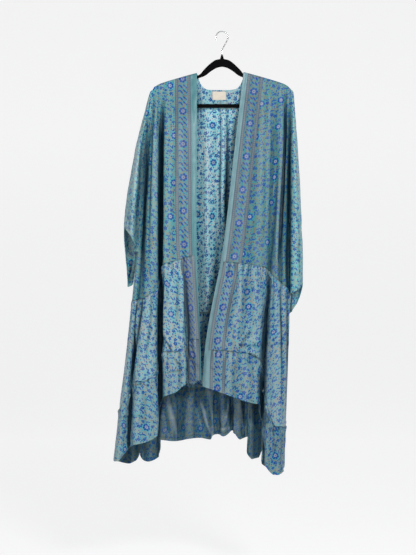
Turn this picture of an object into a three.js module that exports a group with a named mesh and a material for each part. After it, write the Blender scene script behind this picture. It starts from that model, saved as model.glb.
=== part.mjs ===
// An open-front kimono robe with set-in sleeves and two gathered tiers, hung flat on a slim velvet hanger.
//
// Millimetres. The origin is where the hanger's hook rests on its rail, +Z is up and the robe's front faces
// -Y. The body is one run of cloth that goes from the left front edge, round the left side, across the back
// and round the right side to the right front edge. Its folds are the rows of BODY_FOLDS, and every body
// panel is a patch of that run, so neighbouring panels meet along their seams.
import * as THREE from "three";

// Driving dimensions
const CLOTH = 1.8; // thickness of every cloth wall
const SEAM_GAP = 0.3; // between two pieces that are sewn together side by side
const GATHERED_SEAM_GAP = 0.8; // across a gathered seam, measured along the cloth's steepest folds
const SHOULDER_ROUND = 5; // radius of the cloth where it bends over the hanger's arm
const FOLD_RISE = 170; // height below the shoulder in which the folds reach their full depth
const SIDE_TOP_Z = -580; // where the armholes end and the side seams start
const UNDERARM_EASE = 36; // height in which the side and the sleeve's edges leave the armhole's line
const SHOULDER_TIP_Z = -192;
const TIP_REACH = 217.5; // half width of the shoulders, where the cloth draws in to the hanger's tips
const HANGER_THICKNESS = 6;
const HANGER_BEVEL = 1;
const HOOK_WIRE = 3.6; // diameter of the hook's wire
const HOOK_INNER_RADIUS = 17;
const LABEL = { left: -29, right: 14, top: -187, bottom: -213, thickness: 0.8, lift: 0.3 };

// Colours of the finishes
const FINISH = {
  print: { color: 0x6aa3ab, roughness: 0.55, metalness: 0 },
  band: { color: 0x78aeb0, roughness: 0.5, metalness: 0 },
  velvet: { color: 0x08080a, roughness: 0.95, metalness: 0 },
  wire: { color: 0xb8babd, roughness: 0.25, metalness: 1 },
  label: { color: 0xd8cfc0, roughness: 0.7, metalness: 0 },
};

/** Turns rows of values into objects that are keyed by the column names. */
function table(columns, rows) {
  const keys = columns.split(" ");
  return rows.map((row) => Object.fromEntries(keys.map((key, i) => [key, row[i]])));
}

// Heights at which the body's folds are given: chest, waist, knee and hem.
const BODY_HEIGHTS = [-372, -687, -1002, -1317];

// A row for each fold or seam that runs down the body, in order round it. x1 to x4 and y1 to y4 place it at
// BODY_HEIGHTS, and seam1, seam2 and hem say how low the two tier seams and the hem are there.
const BODY_FOLDS = table("name x1 x2 x3 x4 y1 y2 y3 y4 seam1 seam2 hem", [
  ["left band edge", -79, -79, -68, -69, -30, -44, -46, -48, -704, -964, -1093],
  ["left band seam", -96.5, -93, -76, -79, -33, -48, -58, -60, -704, -964, -1093],
  ["left border", -116, -108, -89, -92, -35, -50, -56, -58, -707, -964, -1096],
  ["left tier valley", -130, -119, -108, -104, -36, -50, -34, -38, -711, -974, -1099],
  ["left puff edge", -138, -128, -120, -117, -37, -52, -62, -64, -714, -988, -1108],
  ["left front panel", -154, -150, -146, -141, -38, -53, -68, -70, -720, -1002, -1128],
  ["left fold edge", -180, -182, -181, -174, -36, -50, -62, -64, -731, -1002, -1141],
  ["left fold wall", -185, -186, -187, -183, -20, -22, -30, -30, -737, -1008, -1146],
  ["left groove", -192, -192, -195, -192, -8, -8, -10, -8, -765, -1027, -1175],
  ["left ridge inside", -202, -202, -205, -203, -26, -34, -42, -44, -806, -1065, -1266],
  ["left ridge", -213, -220, -236, -239, -36, -46, -60, -64, -825, -1093, -1285],
  ["left ridge outside", -222, -240, -265, -280, -28, -36, -50, -54, -838, -1096, -1295],
  ["left front armhole", -232, -252, -276, -293, -12, -12, -20, -22, -841, -1122, -1308],
  ["left outer fold", -236, -262, -288, -321, -16, -10, -40, -48, -844, -1152, -1345],
  ["left side seam", -239, -267, -301, -338, 2, 2, 2, 2, -844, -1186, -1349],
  ["left back fold", -236, -261, -287, -322, 12, 14, 42, 50, -852, -1165, -1359],
  ["left tube", -235, -257, -278, -296, 13, 16, 44, 54, -856, -1158, -1366],
  ["left tube edge", -234, -253, -264, -272, 13, 16, 36, 42, -858, -1148, -1355],
  ["left back armhole", -232, -248, -252, -255, 12, 12, 20, 18, -860, -1138, -1318],
  ["back tube edge", -225, -236, -244, -256, 18, 18, 26, 34, -862, -1132, -1346],
  ["back fold 1", -217, -222, -229, -234, 24, 22, 28, 46, -863, -1128, -1359],
  ["back tube", -208, -209, -213, -212, 30, 34, 42, 50, -866, -1124, -1352],
  ["back ridge 1", -198, -198, -198, -197, 34, 44, 48, 38, -869, -1121, -1334],
  ["back tuck 1", -186, -186, -188, -195, 30, 34, 28, 18, -872, -1118, -1286],
  ["back fold 2", -173, -170, -167, -161, 26, 28, 22, 16, -876, -1115, -1290],
  ["back ridge 2", -142, -139, -136, -143, 34, 46, 50, 46, -879, -1112, -1293],
  ["back fold 3", -110, -107, -101, -100, 27, 30, 26, 24, -882, -1112, -1283],
  ["left neck", -79, -79, -72, -69, 33, 42, 44, 40, -882, -1112, -1282],
  ["back fold 4", -50, -47, -44, -38, 24, 22, 22, 34, -882, -1112, -1287],
  ["back tuck 4", -34, -32, -32, -27, 28, 31, 32, 20, -882, -1112, -1272],
  ["back ridge 4", -19, -17, -18, -14, 33, 40, 42, 38, -882, -1112, -1270],
  ["back fold 5", 2, 2, 2, 5, 26, 28, 26, 26, -882, -1112, -1276],
  ["back ridge 5", 22, 25, 30, 34, 32, 40, 46, 50, -882, -1112, -1260],
  ["back tuck 5", 35, 38, 42, 43, 29, 33, 32, 30, -882, -1112, -1270],
  ["back fold 6", 47, 50, 56, 57, 26, 26, 24, 38, -882, -1112, -1287],
  ["right neck", 72, 76, 74, 72, 32, 42, 46, 44, -882, -1112, -1282],
  ["right tuck", 90, 90, 86, 85, 30, 34, 32, 18, -880, -1115, -1276],
  ["right tube edge", 102, 99, 94, 79, 28, 28, 24, 14, -878, -1119, -1318],
  ["back fold 7", 113, 108, 103, 96, 26, 24, 20, 30, -876, -1123, -1349],
  ["back ridge 7", 145, 139, 129, 118, 33, 44, 44, 42, -869, -1134, -1345],
  ["right notch", 158, 151, 140, 129, 30, 36, 34, 20, -866, -1146, -1318],
  ["back fold 8", 170, 163, 151, 131, 26, 28, 28, 34, -863, -1159, -1362],
  ["back ridge 8", 195, 186, 176, 158, 30, 38, 44, 50, -860, -1186, -1384],
  ["right back armhole", 213, 206, 196, 182, 12, 12, 22, 32, -854, -1204, -1386],
  ["right back fold", 214, 213, 205, 195, 12, 14, 25, 29, -844, -1214, -1373],
  ["right side seam", 216, 216, 209, 198, 2, 2, 2, 2, -832, -1229, -1370],
  ["right outer fold", 214, 214, 208, 195, -10, -10, -16, -20, -819, -1238, -1373],
  ["right front armhole", 213, 206, 206, 194, -12, -10, -26, -30, -806, -1238, -1380],
  ["right ridge outside", 203, 194, 200, 187, -32, -40, -46, -48, -797, -1238, -1383],
  ["right thin groove", 195, 181, 187, 178, -22, -28, -57, -60, -787, -1235, -1386],
  ["right ridge", 181, 170, 173, 164, -36, -46, -62, -64, -775, -1235, -1386],
  ["right ridge inside", 169, 160, 145, 135, -31, -38, -54, -52, -762, -1165, -1355],
  ["right groove", 159, 151, 132, 126, -26, -26, -14, -8, -750, -1092, -1236],
  ["right fold edge", 142, 135, 118, 112, -32, -40, -56, -58, -740, -1030, -1167],
  ["right front ridge", 126, 113, 94, 88, -36, -50, -64, -66, -734, -1008, -1162],
  ["right front panel", 104, 82, 50, 54, -34, -47, -58, -58, -729, -1005, -1150],
  ["right border", 79, 47, 0, 6, -36, -52, -64, -64, -726, -998, -1131],
  ["right band seam", 53, 16, -35, -35, -34, -50, -58, -60, -724, -998, -1118],
  ["right band edge", 39, 2, -54, -65, -30, -44, -48, -50, -724, -998, -1112],
]);

// The sleeves' folds from front to back, at the heights of the shoulder tip, the chest, the underarm and the
// cuff. edge is how low the cuff is at that fold. The armhole's own rows of BODY_FOLDS close each sleeve.
const SLEEVE_COLUMNS = "name x1 x2 x3 x4 y1 y2 y3 y4 edge";
const SLEEVES = {
  left: {
    heights: [-181, -372, -592, -750],
    front: "left front armhole",
    back: "left back armhole",
    underarmSeam: { x: [-258, -275], y: [-3, 3], edge: [-690, -768] },
    folds: table(SLEEVE_COLUMNS, [
      ["small ridge", -220, -238, -250, -262, -5.6, -22, -27, -25, -693],
      ["small groove", -221, -245, -260, -274, -5.2, -16, -16, -15, -684],
      ["front ridge", -222.5, -257, -280, -284, -4.4, -34, -42, -42, -646],
      ["outer edge", -224, -272, -307, -302, 0, 0, 0, 0, -617],
      ["outer edge behind", -223.6, -271, -306, -300, 2, 12, 16, 16, -768],
      ["back ridge", -222.5, -258, -290, -296, 4.4, 30, 36, 34, -803],
      ["back groove", -220.5, -242, -257, -276, 5.4, 24, 28, 26, -794],
    ]),
  },
  right: {
    heights: [-181, -372, -592, -813],
    front: "right front armhole",
    back: "right back armhole",
    underarmSeam: { x: [223, 221], y: [-3, 3], edge: [-822, -880] },
    folds: table(SLEEVE_COLUMNS, [
      ["inner ridge", 220, 218, 217, 217, -5.6, -26, -30, -28, -822],
      ["front ridge", 221.5, 226, 230, 233, -5.2, -38, -44, -42, -813],
      ["outer slope", 223, 233, 241, 245, -4, -26, -32, -30, -803],
      ["outer edge", 224, 238, 250, 255, 0, 0, 0, 0, -787],
      ["outer edge behind", 223.6, 237, 248, 254, 2.4, 14, 18, 18, -806],
      ["back ridge", 222.5, 230, 238, 239, 4.4, 32, 40, 40, -854],
      ["back groove", 220.5, 219, 217, 217, 5.4, 22, 28, 28, -888],
    ]),
  },
};

// The line of the shoulders over the hanger's arm: distance from the centre line, and height.
const SHOULDER_LINE = table("x z", [
  [72, -127],
  [120, -140],
  [192, -162],
  [208, -171],
  [220, -185],
  [232, -205],
]);
const NECK = { centre: -4, halfWidth: 75, top: -127, drop: 55, squareness: 6, blend: 8 };

// Gathers under each tier seam: waves for each fold row, their depth, the share of the tier's height in which
// they grow, and the share of their depth that is left at the tier's lower edge.
const GATHERS = {
  tier1: { perFold: 0.8, depth: 3.6, grow: 0.3, left: 0, phase: 0.4 },
  tier2: { perFold: 0.75, depth: 3.8, grow: 0.4, left: 1, phase: 1.9 },
};

const GATHER_ROOM = 26; // width of cloth from fold to fold that takes a gather of full depth
const BESIDE = 0.02; // how far to each side, in folds, the cloth's direction is taken
const CALM_FOLDS = 0.8; // how far from a flat fold, in folds, the gathers reach their full depth

const foldIndex = (name) => BODY_FOLDS.findIndex((fold) => fold.name === name);
const LAST_FOLD = BODY_FOLDS.length - 1;
const LEFT_SIDE = foldIndex("left side seam");
const RIGHT_SIDE = foldIndex("right side seam");
// The band and side seams, which hold the cloth flat.
const FLAT_FOLDS = [1, LEFT_SIDE, RIGHT_SIDE, LAST_FOLD - 1];

// The fold rows between which the armholes are cut out.
const ARMHOLES = [
  [foldIndex("left front armhole"), foldIndex("left back armhole")],
  [foldIndex("right back armhole"), foldIndex("right front armhole")],
];

// The fold rows between which each body panel is cut.
const BODY_PANELS = {
  front_left: [1, LEFT_SIDE],
  back: [LEFT_SIDE, RIGHT_SIDE],
  front_right: [RIGHT_SIDE, LAST_FOLD - 1],
};

const smooth = (t) => {
  const c = Math.min(1, Math.max(0, t));
  return c * c * (3 - 2 * c);
};
const mix = (a, b, t) => a + (b - a) * t;

/** Cubic through (heights[i], values[i]), straight on past both ends. */
function byHeight(heights, values, z) {
  const last = heights.length - 1;
  const slope = (i, j) => (values[j] - values[i]) / (heights[j] - heights[i]);
  if (z >= heights[0]) return values[0] + slope(0, 1) * (z - heights[0]);
  if (z <= heights[last]) return values[last] + slope(last - 1, last) * (z - heights[last]);
  const i = heights.findIndex((h, k) => z <= h && z >= heights[k + 1]);
  const span = heights[i + 1] - heights[i];
  const t = (z - heights[i]) / span;
  const startSlope = (i > 0 ? slope(i - 1, i + 1) : slope(0, 1)) * span;
  const endSlope = (i + 2 <= last ? slope(i, i + 2) : slope(i, i + 1)) * span;
  return hermite(values[i], values[i + 1], startSlope, endSlope, t);
}

function hermite(a, b, startSlope, endSlope, t) {
  const t2 = t * t;
  const t3 = t2 * t;
  const ends = (2 * t3 - 3 * t2 + 1) * a + (3 * t2 - 2 * t3) * b;
  return ends + (t3 - 2 * t2 + t) * startSlope + (t3 - t2) * endSlope;
}

const LEAST_STEP = 1e-3; // keeps the curve defined where two points fall together

/** Rounded curve through a run of points at whole values of u; the spacing of the points shapes its bends. */
function foldCurve(pointAt, count, u) {
  const i = Math.min(count - 2, Math.max(0, Math.floor(u)));
  const t = u - i;
  const p1 = pointAt(i);
  const p2 = pointAt(i + 1);
  const p0 = i > 0 ? pointAt(i - 1) : p1.map((v, k) => 2 * v - p2[k]);
  const p3 = i + 2 < count ? pointAt(i + 2) : p2.map((v, k) => 2 * v - p1[k]);
  const step = (a, b) => Math.max(Math.sqrt(Math.hypot(b[0] - a[0], b[1] - a[1])), LEAST_STEP);
  const [d0, d1, d2] = [step(p0, p1), step(p1, p2), step(p2, p3)];
  return p1.map((_, k) => {
    const start = d1 * ((p1[k] - p0[k]) / d0 - (p2[k] - p0[k]) / (d0 + d1)) + (p2[k] - p1[k]);
    const end = d1 * ((p3[k] - p2[k]) / d2 - (p3[k] - p1[k]) / (d1 + d2)) + (p2[k] - p1[k]);
    return hermite(p1[k], p2[k], start, end, t);
  });
}

/** Draws x in to the shoulder tips, more the higher z is above the chest. */
function drawnIn(x, z) {
  const over = Math.max(0, Math.abs(x) - TIP_REACH);
  const share = smooth((z - BODY_HEIGHTS[0]) / (SHOULDER_TIP_Z - BODY_HEIGHTS[0]));
  return x - Math.sign(x) * over * share;
}

/** Place in plan of the body's run of cloth, at fold u and height z. */
function bodySection(u, z) {
  const pointAt = (i) => {
    const f = BODY_FOLDS[i];
    return [
      drawnIn(byHeight(BODY_HEIGHTS, [f.x1, f.x2, f.x3, f.x4], z), z),
      byHeight(BODY_HEIGHTS, [f.y1, f.y2, f.y3, f.y4], z),
    ];
  };
  return foldCurve(pointAt, BODY_FOLDS.length, u);
}

/** Height of the seam or hem called key at fold u. */
function levelAt(key, u) {
  return foldCurve((i) => [BODY_FOLDS[i][key], 0], BODY_FOLDS.length, u)[0];
}

/** Height of the shoulder seam over x. */
function shoulderHeight(x) {
  const xs = SHOULDER_LINE.map((row) => row.x);
  return byHeight(xs.map((v) => -v), SHOULDER_LINE.map((row) => row.z), -Math.max(Math.abs(x), xs[0]));
}

/** How far x is inside the neck opening: 0 on the shoulders, 1 in the opening. */
function neckShare(x) {
  return smooth((NECK.halfWidth - Math.abs(x - NECK.centre)) / NECK.blend + 0.5);
}

/** Top edge of the body at fold u: the shoulder seam, or the dropped neckline on the back. */
function topHeight(u) {
  const x = bodySection(u, NECK.top)[0];
  const across = Math.min(1, Math.abs(x - NECK.centre) / NECK.halfWidth);
  const isBack = u > LEFT_SIDE && u < RIGHT_SIDE;
  if (!isBack || across >= 1) return shoulderHeight(x);
  return NECK.top - NECK.drop * (1 - across ** NECK.squareness);
}

/**
 * A point of the yoke and body above the first tier seam. v runs from 0 at the shoulder seam to 1 where the
 * cloth has rounded the hanger's arm, 2 at the armhole's end and 3 at the tier seam.
 */
function upperBody(u, v) {
  const side = u > LEFT_SIDE && u < RIGHT_SIDE ? 1 : -1;
  const top = topHeight(u);
  if (v <= 1) {
    const angle = (v * Math.PI) / 2;
    const z = top - SHOULDER_ROUND * (1 - Math.cos(angle));
    const [x] = bodySection(u, z);
    const open = side > 0 ? neckShare(x) : 0;
    return [x, side * SHOULDER_ROUND * mix(Math.sin(angle), 1, open), z];
  }
  const start = top - SHOULDER_ROUND;
  const z = v <= 2 ? mix(start, SIDE_TOP_Z, v - 1) : mix(SIDE_TOP_Z, levelAt("seam1", u), v - 2);
  const [x, y] = underarmBridge(u, z);
  const reach = smooth((start - z) / FOLD_RISE);
  return [x, mix(side * SHOULDER_ROUND, y, reach), z];
}

/** Place in plan of the body, with its side drawn straight across the armhole's end and let out below it. */
function underarmBridge(u, z) {
  const place = bodySection(u, z);
  const armhole = ARMHOLES.find(([from, to]) => u > from && u < to);
  const out = smooth((SIDE_TOP_Z - z) / UNDERARM_EASE);
  if (!armhole || out >= 1) return place;
  const [from, to] = armhole;
  const [start, end] = [bodySection(from, z), bodySection(to, z)];
  return place.map((v, k) => mix(mix(start[k], end[k], (u - from) / (to - from)), v, out));
}

/** A point of a tier, v from 0 at its upper seam to 1 at its lower one, with its gathers. */
function tierPoint(from, to, gathers, u, v) {
  const z = mix(levelAt(from, u), levelAt(to, u), v);
  const [x, y] = bodySection(u, z);
  const [xa, ya] = bodySection(u - BESIDE, z);
  const [xb, yb] = bodySection(u + BESIDE, z);
  const length = Math.hypot(xb - xa, yb - ya);
  const room = Math.min(1, length / (2 * BESIDE) / GATHER_ROOM);
  const calm = FLAT_FOLDS.reduce((share, fold) => share * smooth(Math.abs(u - fold) / CALM_FOLDS), 1);
  const uneven = 0.65 + 0.35 * Math.sin(2.3 * u + gathers.phase);
  const wave = Math.sin(2 * Math.PI * (gathers.perFold * u + 0.15 * Math.sin(1.7 * u)) + gathers.phase);
  const fade = smooth((v - gathers.grow) / (1 - gathers.grow));
  const rise = smooth(v / gathers.grow) * mix(1, gathers.left, fade);
  const out = gathers.depth * calm * uneven * room * rise * wave;
  return [x + (out * -(yb - ya)) / length, y + (out * (xb - xa)) / length, z];
}

const tier1 = (u, v) => tierPoint("seam1", "seam2", GATHERS.tier1, u, v);
const tier2 = (u, v) => tierPoint("seam2", "hem", GATHERS.tier2, u, v);

/** A point of a front band over its whole height: 0 to 3 is the upper body, then a unit for each tier. */
function bandPoint(u, v) {
  if (v <= 3) return upperBody(u, v);
  return v <= 4 ? tier1(u, v - 3) : tier2(u, v - 4);
}

/** A point of a sleeve, u by fold from the front armhole to the back one, v from shoulder tip to cuff. */
function sleevePoint(sleeve, u, v) {
  const folds = sleeve.folds;
  const last = folds.length + 1;
  const seam = sleeve.underarmSeam;
  const edgeOf = (i) => (i === 0 ? seam.edge[0] : i === last ? seam.edge[1] : folds[i - 1].edge);
  const top = sleeve.heights[0];
  const z = mix(top, foldCurve((i) => [edgeOf(i), 0], last + 1, u)[0], v);
  const pointAt = (i) => {
    if (i > 0 && i < last) {
      const f = folds[i - 1];
      return [
        byHeight(sleeve.heights, [f.x1, f.x2, f.x3, f.x4], z),
        byHeight(sleeve.heights, [f.y1, f.y2, f.y3, f.y4], z),
      ];
    }
    const isFront = i === 0;
    const armhole = armholePoint(sleeve, isFront, z);
    const below = smooth((SIDE_TOP_Z - z) / UNDERARM_EASE);
    const seamX = mix(seam.x[0], seam.x[1], (SIDE_TOP_Z - z) / (SIDE_TOP_Z - seam.edge[0]));
    return [mix(armhole[0], seamX, below), mix(armhole[1], isFront ? seam.y[0] : seam.y[1], below)];
  };
  const [x, y] = foldCurve(pointAt, last + 1, u);
  return [x, y, z];
}

/** Where a sleeve's edge lies beside the armhole, set off from the body panel's own edge. */
function armholePoint(sleeve, isFront, z) {
  const u = foldIndex(isFront ? sleeve.front : sleeve.back);
  const [x, y] = bodySection(u, z);
  const start = shoulderHeight(x) - SHOULDER_ROUND;
  const side = isFront ? -1 : 1;
  const reach = smooth((start - z) / FOLD_RISE);
  const away = Math.sign(x) * (CLOTH + 2 * SEAM_GAP);
  return [x + away, mix(side * SHOULDER_ROUND, y, reach)];
}

const LEAST_SLANT = 0.05; // keeps a border that runs nearly along its grid lines from moving far

/** Evenly spaced values from a to b, in the given number of steps. */
function steps(a, b, count) {
  return Array.from({ length: count + 1 }, (_, i) => mix(a, b, i / count));
}

/** Unit vector square to the surface at (u, v), pointing to the outside of the garment. */
function surfaceNormal(surface, u, v) {
  const e = 0.01;
  const along = new THREE.Vector3(...surface(u + e, v)).sub(new THREE.Vector3(...surface(u - e, v)));
  const down = new THREE.Vector3(...surface(u, v + e)).sub(new THREE.Vector3(...surface(u, v - e)));
  return along.cross(down).normalize();
}

/** Moves each point of a border line towards the line beside it, so that it clears the border by distance. */
function insetLine(line, beside, distance) {
  const moves = line.map((p, k) => {
    const [before, after] = [line[Math.max(k - 1, 0)], line[Math.min(k + 1, line.length - 1)]];
    const along = after.clone().sub(before).normalize();
    const inward = beside[k].clone().sub(p).normalize();
    const slant = Math.max(inward.clone().cross(along).length(), LEAST_SLANT);
    return inward.multiplyScalar(distance / slant);
  });
  line.forEach((p, k) => p.add(moves[k]));
}

function insetBorder(grid) {
  const lastRow = grid.length - 1;
  const lastColumn = grid[0].length - 1;
  const column = (j) => grid.map((row) => row[j]);
  insetLine(column(0), column(1), SEAM_GAP / 2);
  insetLine(column(lastColumn), column(lastColumn - 1), SEAM_GAP / 2);
  insetLine(grid[0], grid[1], GATHERED_SEAM_GAP / 2);
  insetLine(grid[lastRow], grid[lastRow - 1], GATHERED_SEAM_GAP / 2);
}

/**
 * A closed wall of cloth round a surface. us and vs are the grid's lines, keep(u, v) says which cells there
 * are, and lift moves the whole wall outward.
 */
function clothWall(surface, us, vs, { thickness = CLOTH, lift = 0, keep = () => true } = {}) {
  const middle = vs.map((v) => us.map((u) => new THREE.Vector3(...surface(u, v))));
  const normals = vs.map((v) => us.map((u) => surfaceNormal(surface, u, v)));
  insetBorder(middle);
  const layer = (offset) =>
    middle.map((row, i) => row.map((p, j) => p.clone().addScaledVector(normals[i][j], offset)));
  const outer = layer(lift + thickness / 2);
  const inner = layer(lift - thickness / 2);
  const isCell = (i, j) =>
    i >= 0 && j >= 0 && i < vs.length - 1 && j < us.length - 1 &&
    keep((us[j] + us[j + 1]) / 2, (vs[i] + vs[i + 1]) / 2);
  const positions = [];
  const triangle = (...corners) => corners.forEach((p) => positions.push(p.x, p.y, p.z));
  for (let i = 0; i < vs.length - 1; i++) {
    for (let j = 0; j < us.length - 1; j++) {
      if (!isCell(i, j)) continue;
      const corners = [[i, j], [i, j + 1], [i + 1, j + 1], [i + 1, j]];
      const [a, b, c, d] = corners.map(([r, s]) => outer[r][s]);
      const [e, f, g, h] = corners.map(([r, s]) => inner[r][s]);
      triangle(a, b, d);
      triangle(b, c, d);
      triangle(e, h, f);
      triangle(f, h, g);
      const besides = [[i - 1, j], [i, j + 1], [i + 1, j], [i, j - 1]];
      besides.forEach(([r, s], k) => {
        if (isCell(r, s)) return;
        const next = (k + 1) % 4;
        triangle([b, c, d, a][k], [a, b, c, d][k], [e, f, g, h][k]);
        triangle([b, c, d, a][k], [e, f, g, h][k], [e, f, g, h][next]);
      });
    }
  }
  return fromTriangles(positions);
}

function fromTriangles(positions) {
  const geometry = new THREE.BufferGeometry();
  geometry.setAttribute("position", new THREE.Float32BufferAttribute(positions, 3));
  geometry.computeVertexNormals();
  return geometry;
}

const kimono = new THREE.Group();

function addPiece(name, finish, geometry) {
  const mesh = new THREE.Mesh(geometry, new THREE.MeshStandardMaterial(FINISH[finish]));
  mesh.name = name;
  kimono.add(mesh);
}

// The body above the tiers
const SHOULDER_ROWS = steps(0, 1, 2);
const ARM_ROWS = steps(1, 2, 4).slice(1);
const WAIST_ROWS = steps(2, 3, 2).slice(1);
const UPPER_ROWS = [...SHOULDER_ROWS, ...ARM_ROWS, ...WAIST_ROWS];
const FOLD_STEPS = 3;

/** Says whether a cell of the upper body is cloth: the space inside each armhole is left open. */
function outsideArmholes(u, v) {
  return v > 2 || !ARMHOLES.some(([from, to]) => u > from && u < to);
}

function addUpperBody() {
  for (const [name, [from, to]] of Object.entries(BODY_PANELS)) {
    const us = steps(from, to, FOLD_STEPS * (to - from));
    addPiece(name, "print", clothWall(upperBody, us, UPPER_ROWS, { keep: outsideArmholes }));
  }
}

// The two tiers, each cut as left front, back and right front
const TIER_ROWS = 4;

function addTiers() {
  for (const [tier, surface] of Object.entries({ tier1, tier2 })) {
    for (const [name, [from, to]] of Object.entries(BODY_PANELS)) {
      const us = steps(from, to, FOLD_STEPS * (to - from));
      addPiece(`${tier}_${name}`, "print", clothWall(surface, us, steps(0, 1, TIER_ROWS)));
    }
  }
}

function addBands() {
  const rows = [...UPPER_ROWS, ...steps(3, 4, TIER_ROWS).slice(1), ...steps(4, 5, TIER_ROWS).slice(1)];
  addPiece("band_left", "band", clothWall(bandPoint, steps(0, 1, 2), rows));
  addPiece("band_right", "band", clothWall(bandPoint, steps(LAST_FOLD - 1, LAST_FOLD, 2), rows));
}

const SLEEVE_STEPS = 2;
const SLEEVE_ROWS = 10;

function addSleeves() {
  for (const [side, sleeve] of Object.entries(SLEEVES)) {
    const last = sleeve.folds.length + 1;
    const turn = side === "left" ? (u) => u : (u) => last - u;
    const surface = (u, v) => sleevePoint(sleeve, turn(u), v);
    const us = steps(0, last, SLEEVE_STEPS * last);
    addPiece(`sleeve_${side}`, "print", clothWall(surface, us, steps(0, 1, SLEEVE_ROWS)));
  }
}

/** The label lies on the inside of the back, under the neckline, and follows its curve. */
function addLabel() {
  const chestX = (i) => BODY_FOLDS[i].x1;
  const foldAt = (x) => {
    const i = BODY_FOLDS.findIndex((fold, k) => k > LEFT_SIDE && chestX(k + 1) > x && fold.x1 <= x);
    return i + (x - chestX(i)) / (chestX(i + 1) - chestX(i));
  };
  const surface = (across, down) => {
    const fold = foldAt(mix(LABEL.right, LABEL.left, across));
    const z = mix(LABEL.top, LABEL.bottom, down);
    const [x, y] = bodySection(fold, z);
    return [x, mix(SHOULDER_ROUND, y, smooth((topHeight(fold) - SHOULDER_ROUND - z) / FOLD_RISE)), z];
  };
  const lift = CLOTH / 2 + LABEL.lift + LABEL.thickness / 2;
  const wall = clothWall(surface, steps(0, 1, 6), steps(0, 1, 3), { thickness: LABEL.thickness, lift });
  addPiece("label", "label", wall);
}

// The hanger: half outlines from the top of the arch to the middle of the bar, mirrored for the left half
const HANGER_OUTER = table("x z", [
  [6, -85], [22, -89], [41, -103], [57, -119], [72, -135], [120, -147], [188, -167], [203, -176],
  [211, -189], [213, -203], [209, -221], [198, -235], [180, -239],
]);
const HANGER_INNER = table("x z", [
  [0, -109.5], [16, -113], [35, -124], [52, -137], [75, -146], [120, -158], [182, -177], [194, -186],
  [198, -200], [194, -217], [184, -226], [170, -227],
]);
const BOSS = { base: 5.5, tip: 3, height: 12 };

function addHanger() {
  const half = (rows, sign) => rows.map(({ x, z }) => new THREE.Vector2(sign * x, z));
  const shape = new THREE.Shape();
  shape.moveTo(-BOSS.tip, HANGER_OUTER[0].z + BOSS.height);
  shape.lineTo(BOSS.tip, HANGER_OUTER[0].z + BOSS.height);
  shape.lineTo(HANGER_OUTER[0].x, HANGER_OUTER[0].z);
  shape.splineThru(half(HANGER_OUTER, 1).slice(1));
  shape.lineTo(-HANGER_OUTER.at(-1).x, HANGER_OUTER.at(-1).z);
  shape.splineThru(half(HANGER_OUTER, -1).reverse().slice(1));
  shape.closePath();
  const window = new THREE.Path();
  const last = HANGER_INNER.at(-1);
  window.moveTo(0, HANGER_INNER[0].z);
  window.splineThru(half(HANGER_INNER, -1).slice(1));
  window.lineTo(last.x, last.z);
  window.splineThru(half(HANGER_INNER, 1).reverse().slice(1));
  shape.holes.push(window);
  const depth = HANGER_THICKNESS - 2 * HANGER_BEVEL;
  const geometry = new THREE.ExtrudeGeometry(shape, {
    depth,
    bevelThickness: HANGER_BEVEL,
    bevelSize: HANGER_BEVEL,
    bevelOffset: -HANGER_BEVEL,
    bevelSegments: 1,
    curveSegments: 2,
  });
  geometry.translate(0, 0, -depth / 2);
  geometry.rotateX(Math.PI / 2);
  addPiece("hanger", "velvet", geometry);
}

const HOOK_STEM = table("x z", [[0, 0], [0, 16], [6, 27]]); // z above the boss
const HOOK_TURN = { from: -25, to: 205, steps: 12 }; // degrees round the hook's centre

/** The hook: a stem out of the boss, bent aside and then three quarters of a turn over the rail. */
function addHook() {
  const radius = HOOK_INNER_RADIUS + HOOK_WIRE / 2;
  const centreZ = -HOOK_INNER_RADIUS;
  const foot = HANGER_OUTER[0].z + BOSS.height + SEAM_GAP;
  const onTurn = (degrees) => {
    const angle = THREE.MathUtils.degToRad(degrees);
    return new THREE.Vector3(radius * Math.cos(angle), 0, centreZ + radius * Math.sin(angle));
  };
  const stem = HOOK_STEM.map(({ x, z }) => new THREE.Vector3(x, 0, foot + z));
  const turn = steps(HOOK_TURN.from, HOOK_TURN.to, HOOK_TURN.steps).map(onTurn);
  const path = new THREE.CatmullRomCurve3([...stem, ...turn], false, "centripetal");
  const section = new THREE.Shape();
  section.absarc(0, 0, HOOK_WIRE / 2, 0, 2 * Math.PI);
  const geometry = new THREE.ExtrudeGeometry(section, { extrudePath: path, steps: 30, curveSegments: 4 });
  addPiece("hanger_hook", "wire", geometry);
}

addHanger();
addHook();
addUpperBody();
addTiers();
addBands();
addSleeves();
addLabel();

export default kimono;
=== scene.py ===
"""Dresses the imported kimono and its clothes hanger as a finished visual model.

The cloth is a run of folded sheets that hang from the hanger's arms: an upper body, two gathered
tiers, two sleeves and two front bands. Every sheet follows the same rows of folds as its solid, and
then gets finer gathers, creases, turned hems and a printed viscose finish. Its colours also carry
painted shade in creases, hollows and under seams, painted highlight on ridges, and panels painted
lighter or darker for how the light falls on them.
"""

from __future__ import annotations

import logging
import math
from dataclasses import dataclass, field
from enum import Enum
from typing import Callable, Sequence

import bpy
import numpy as np
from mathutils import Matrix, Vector, noise


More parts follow.
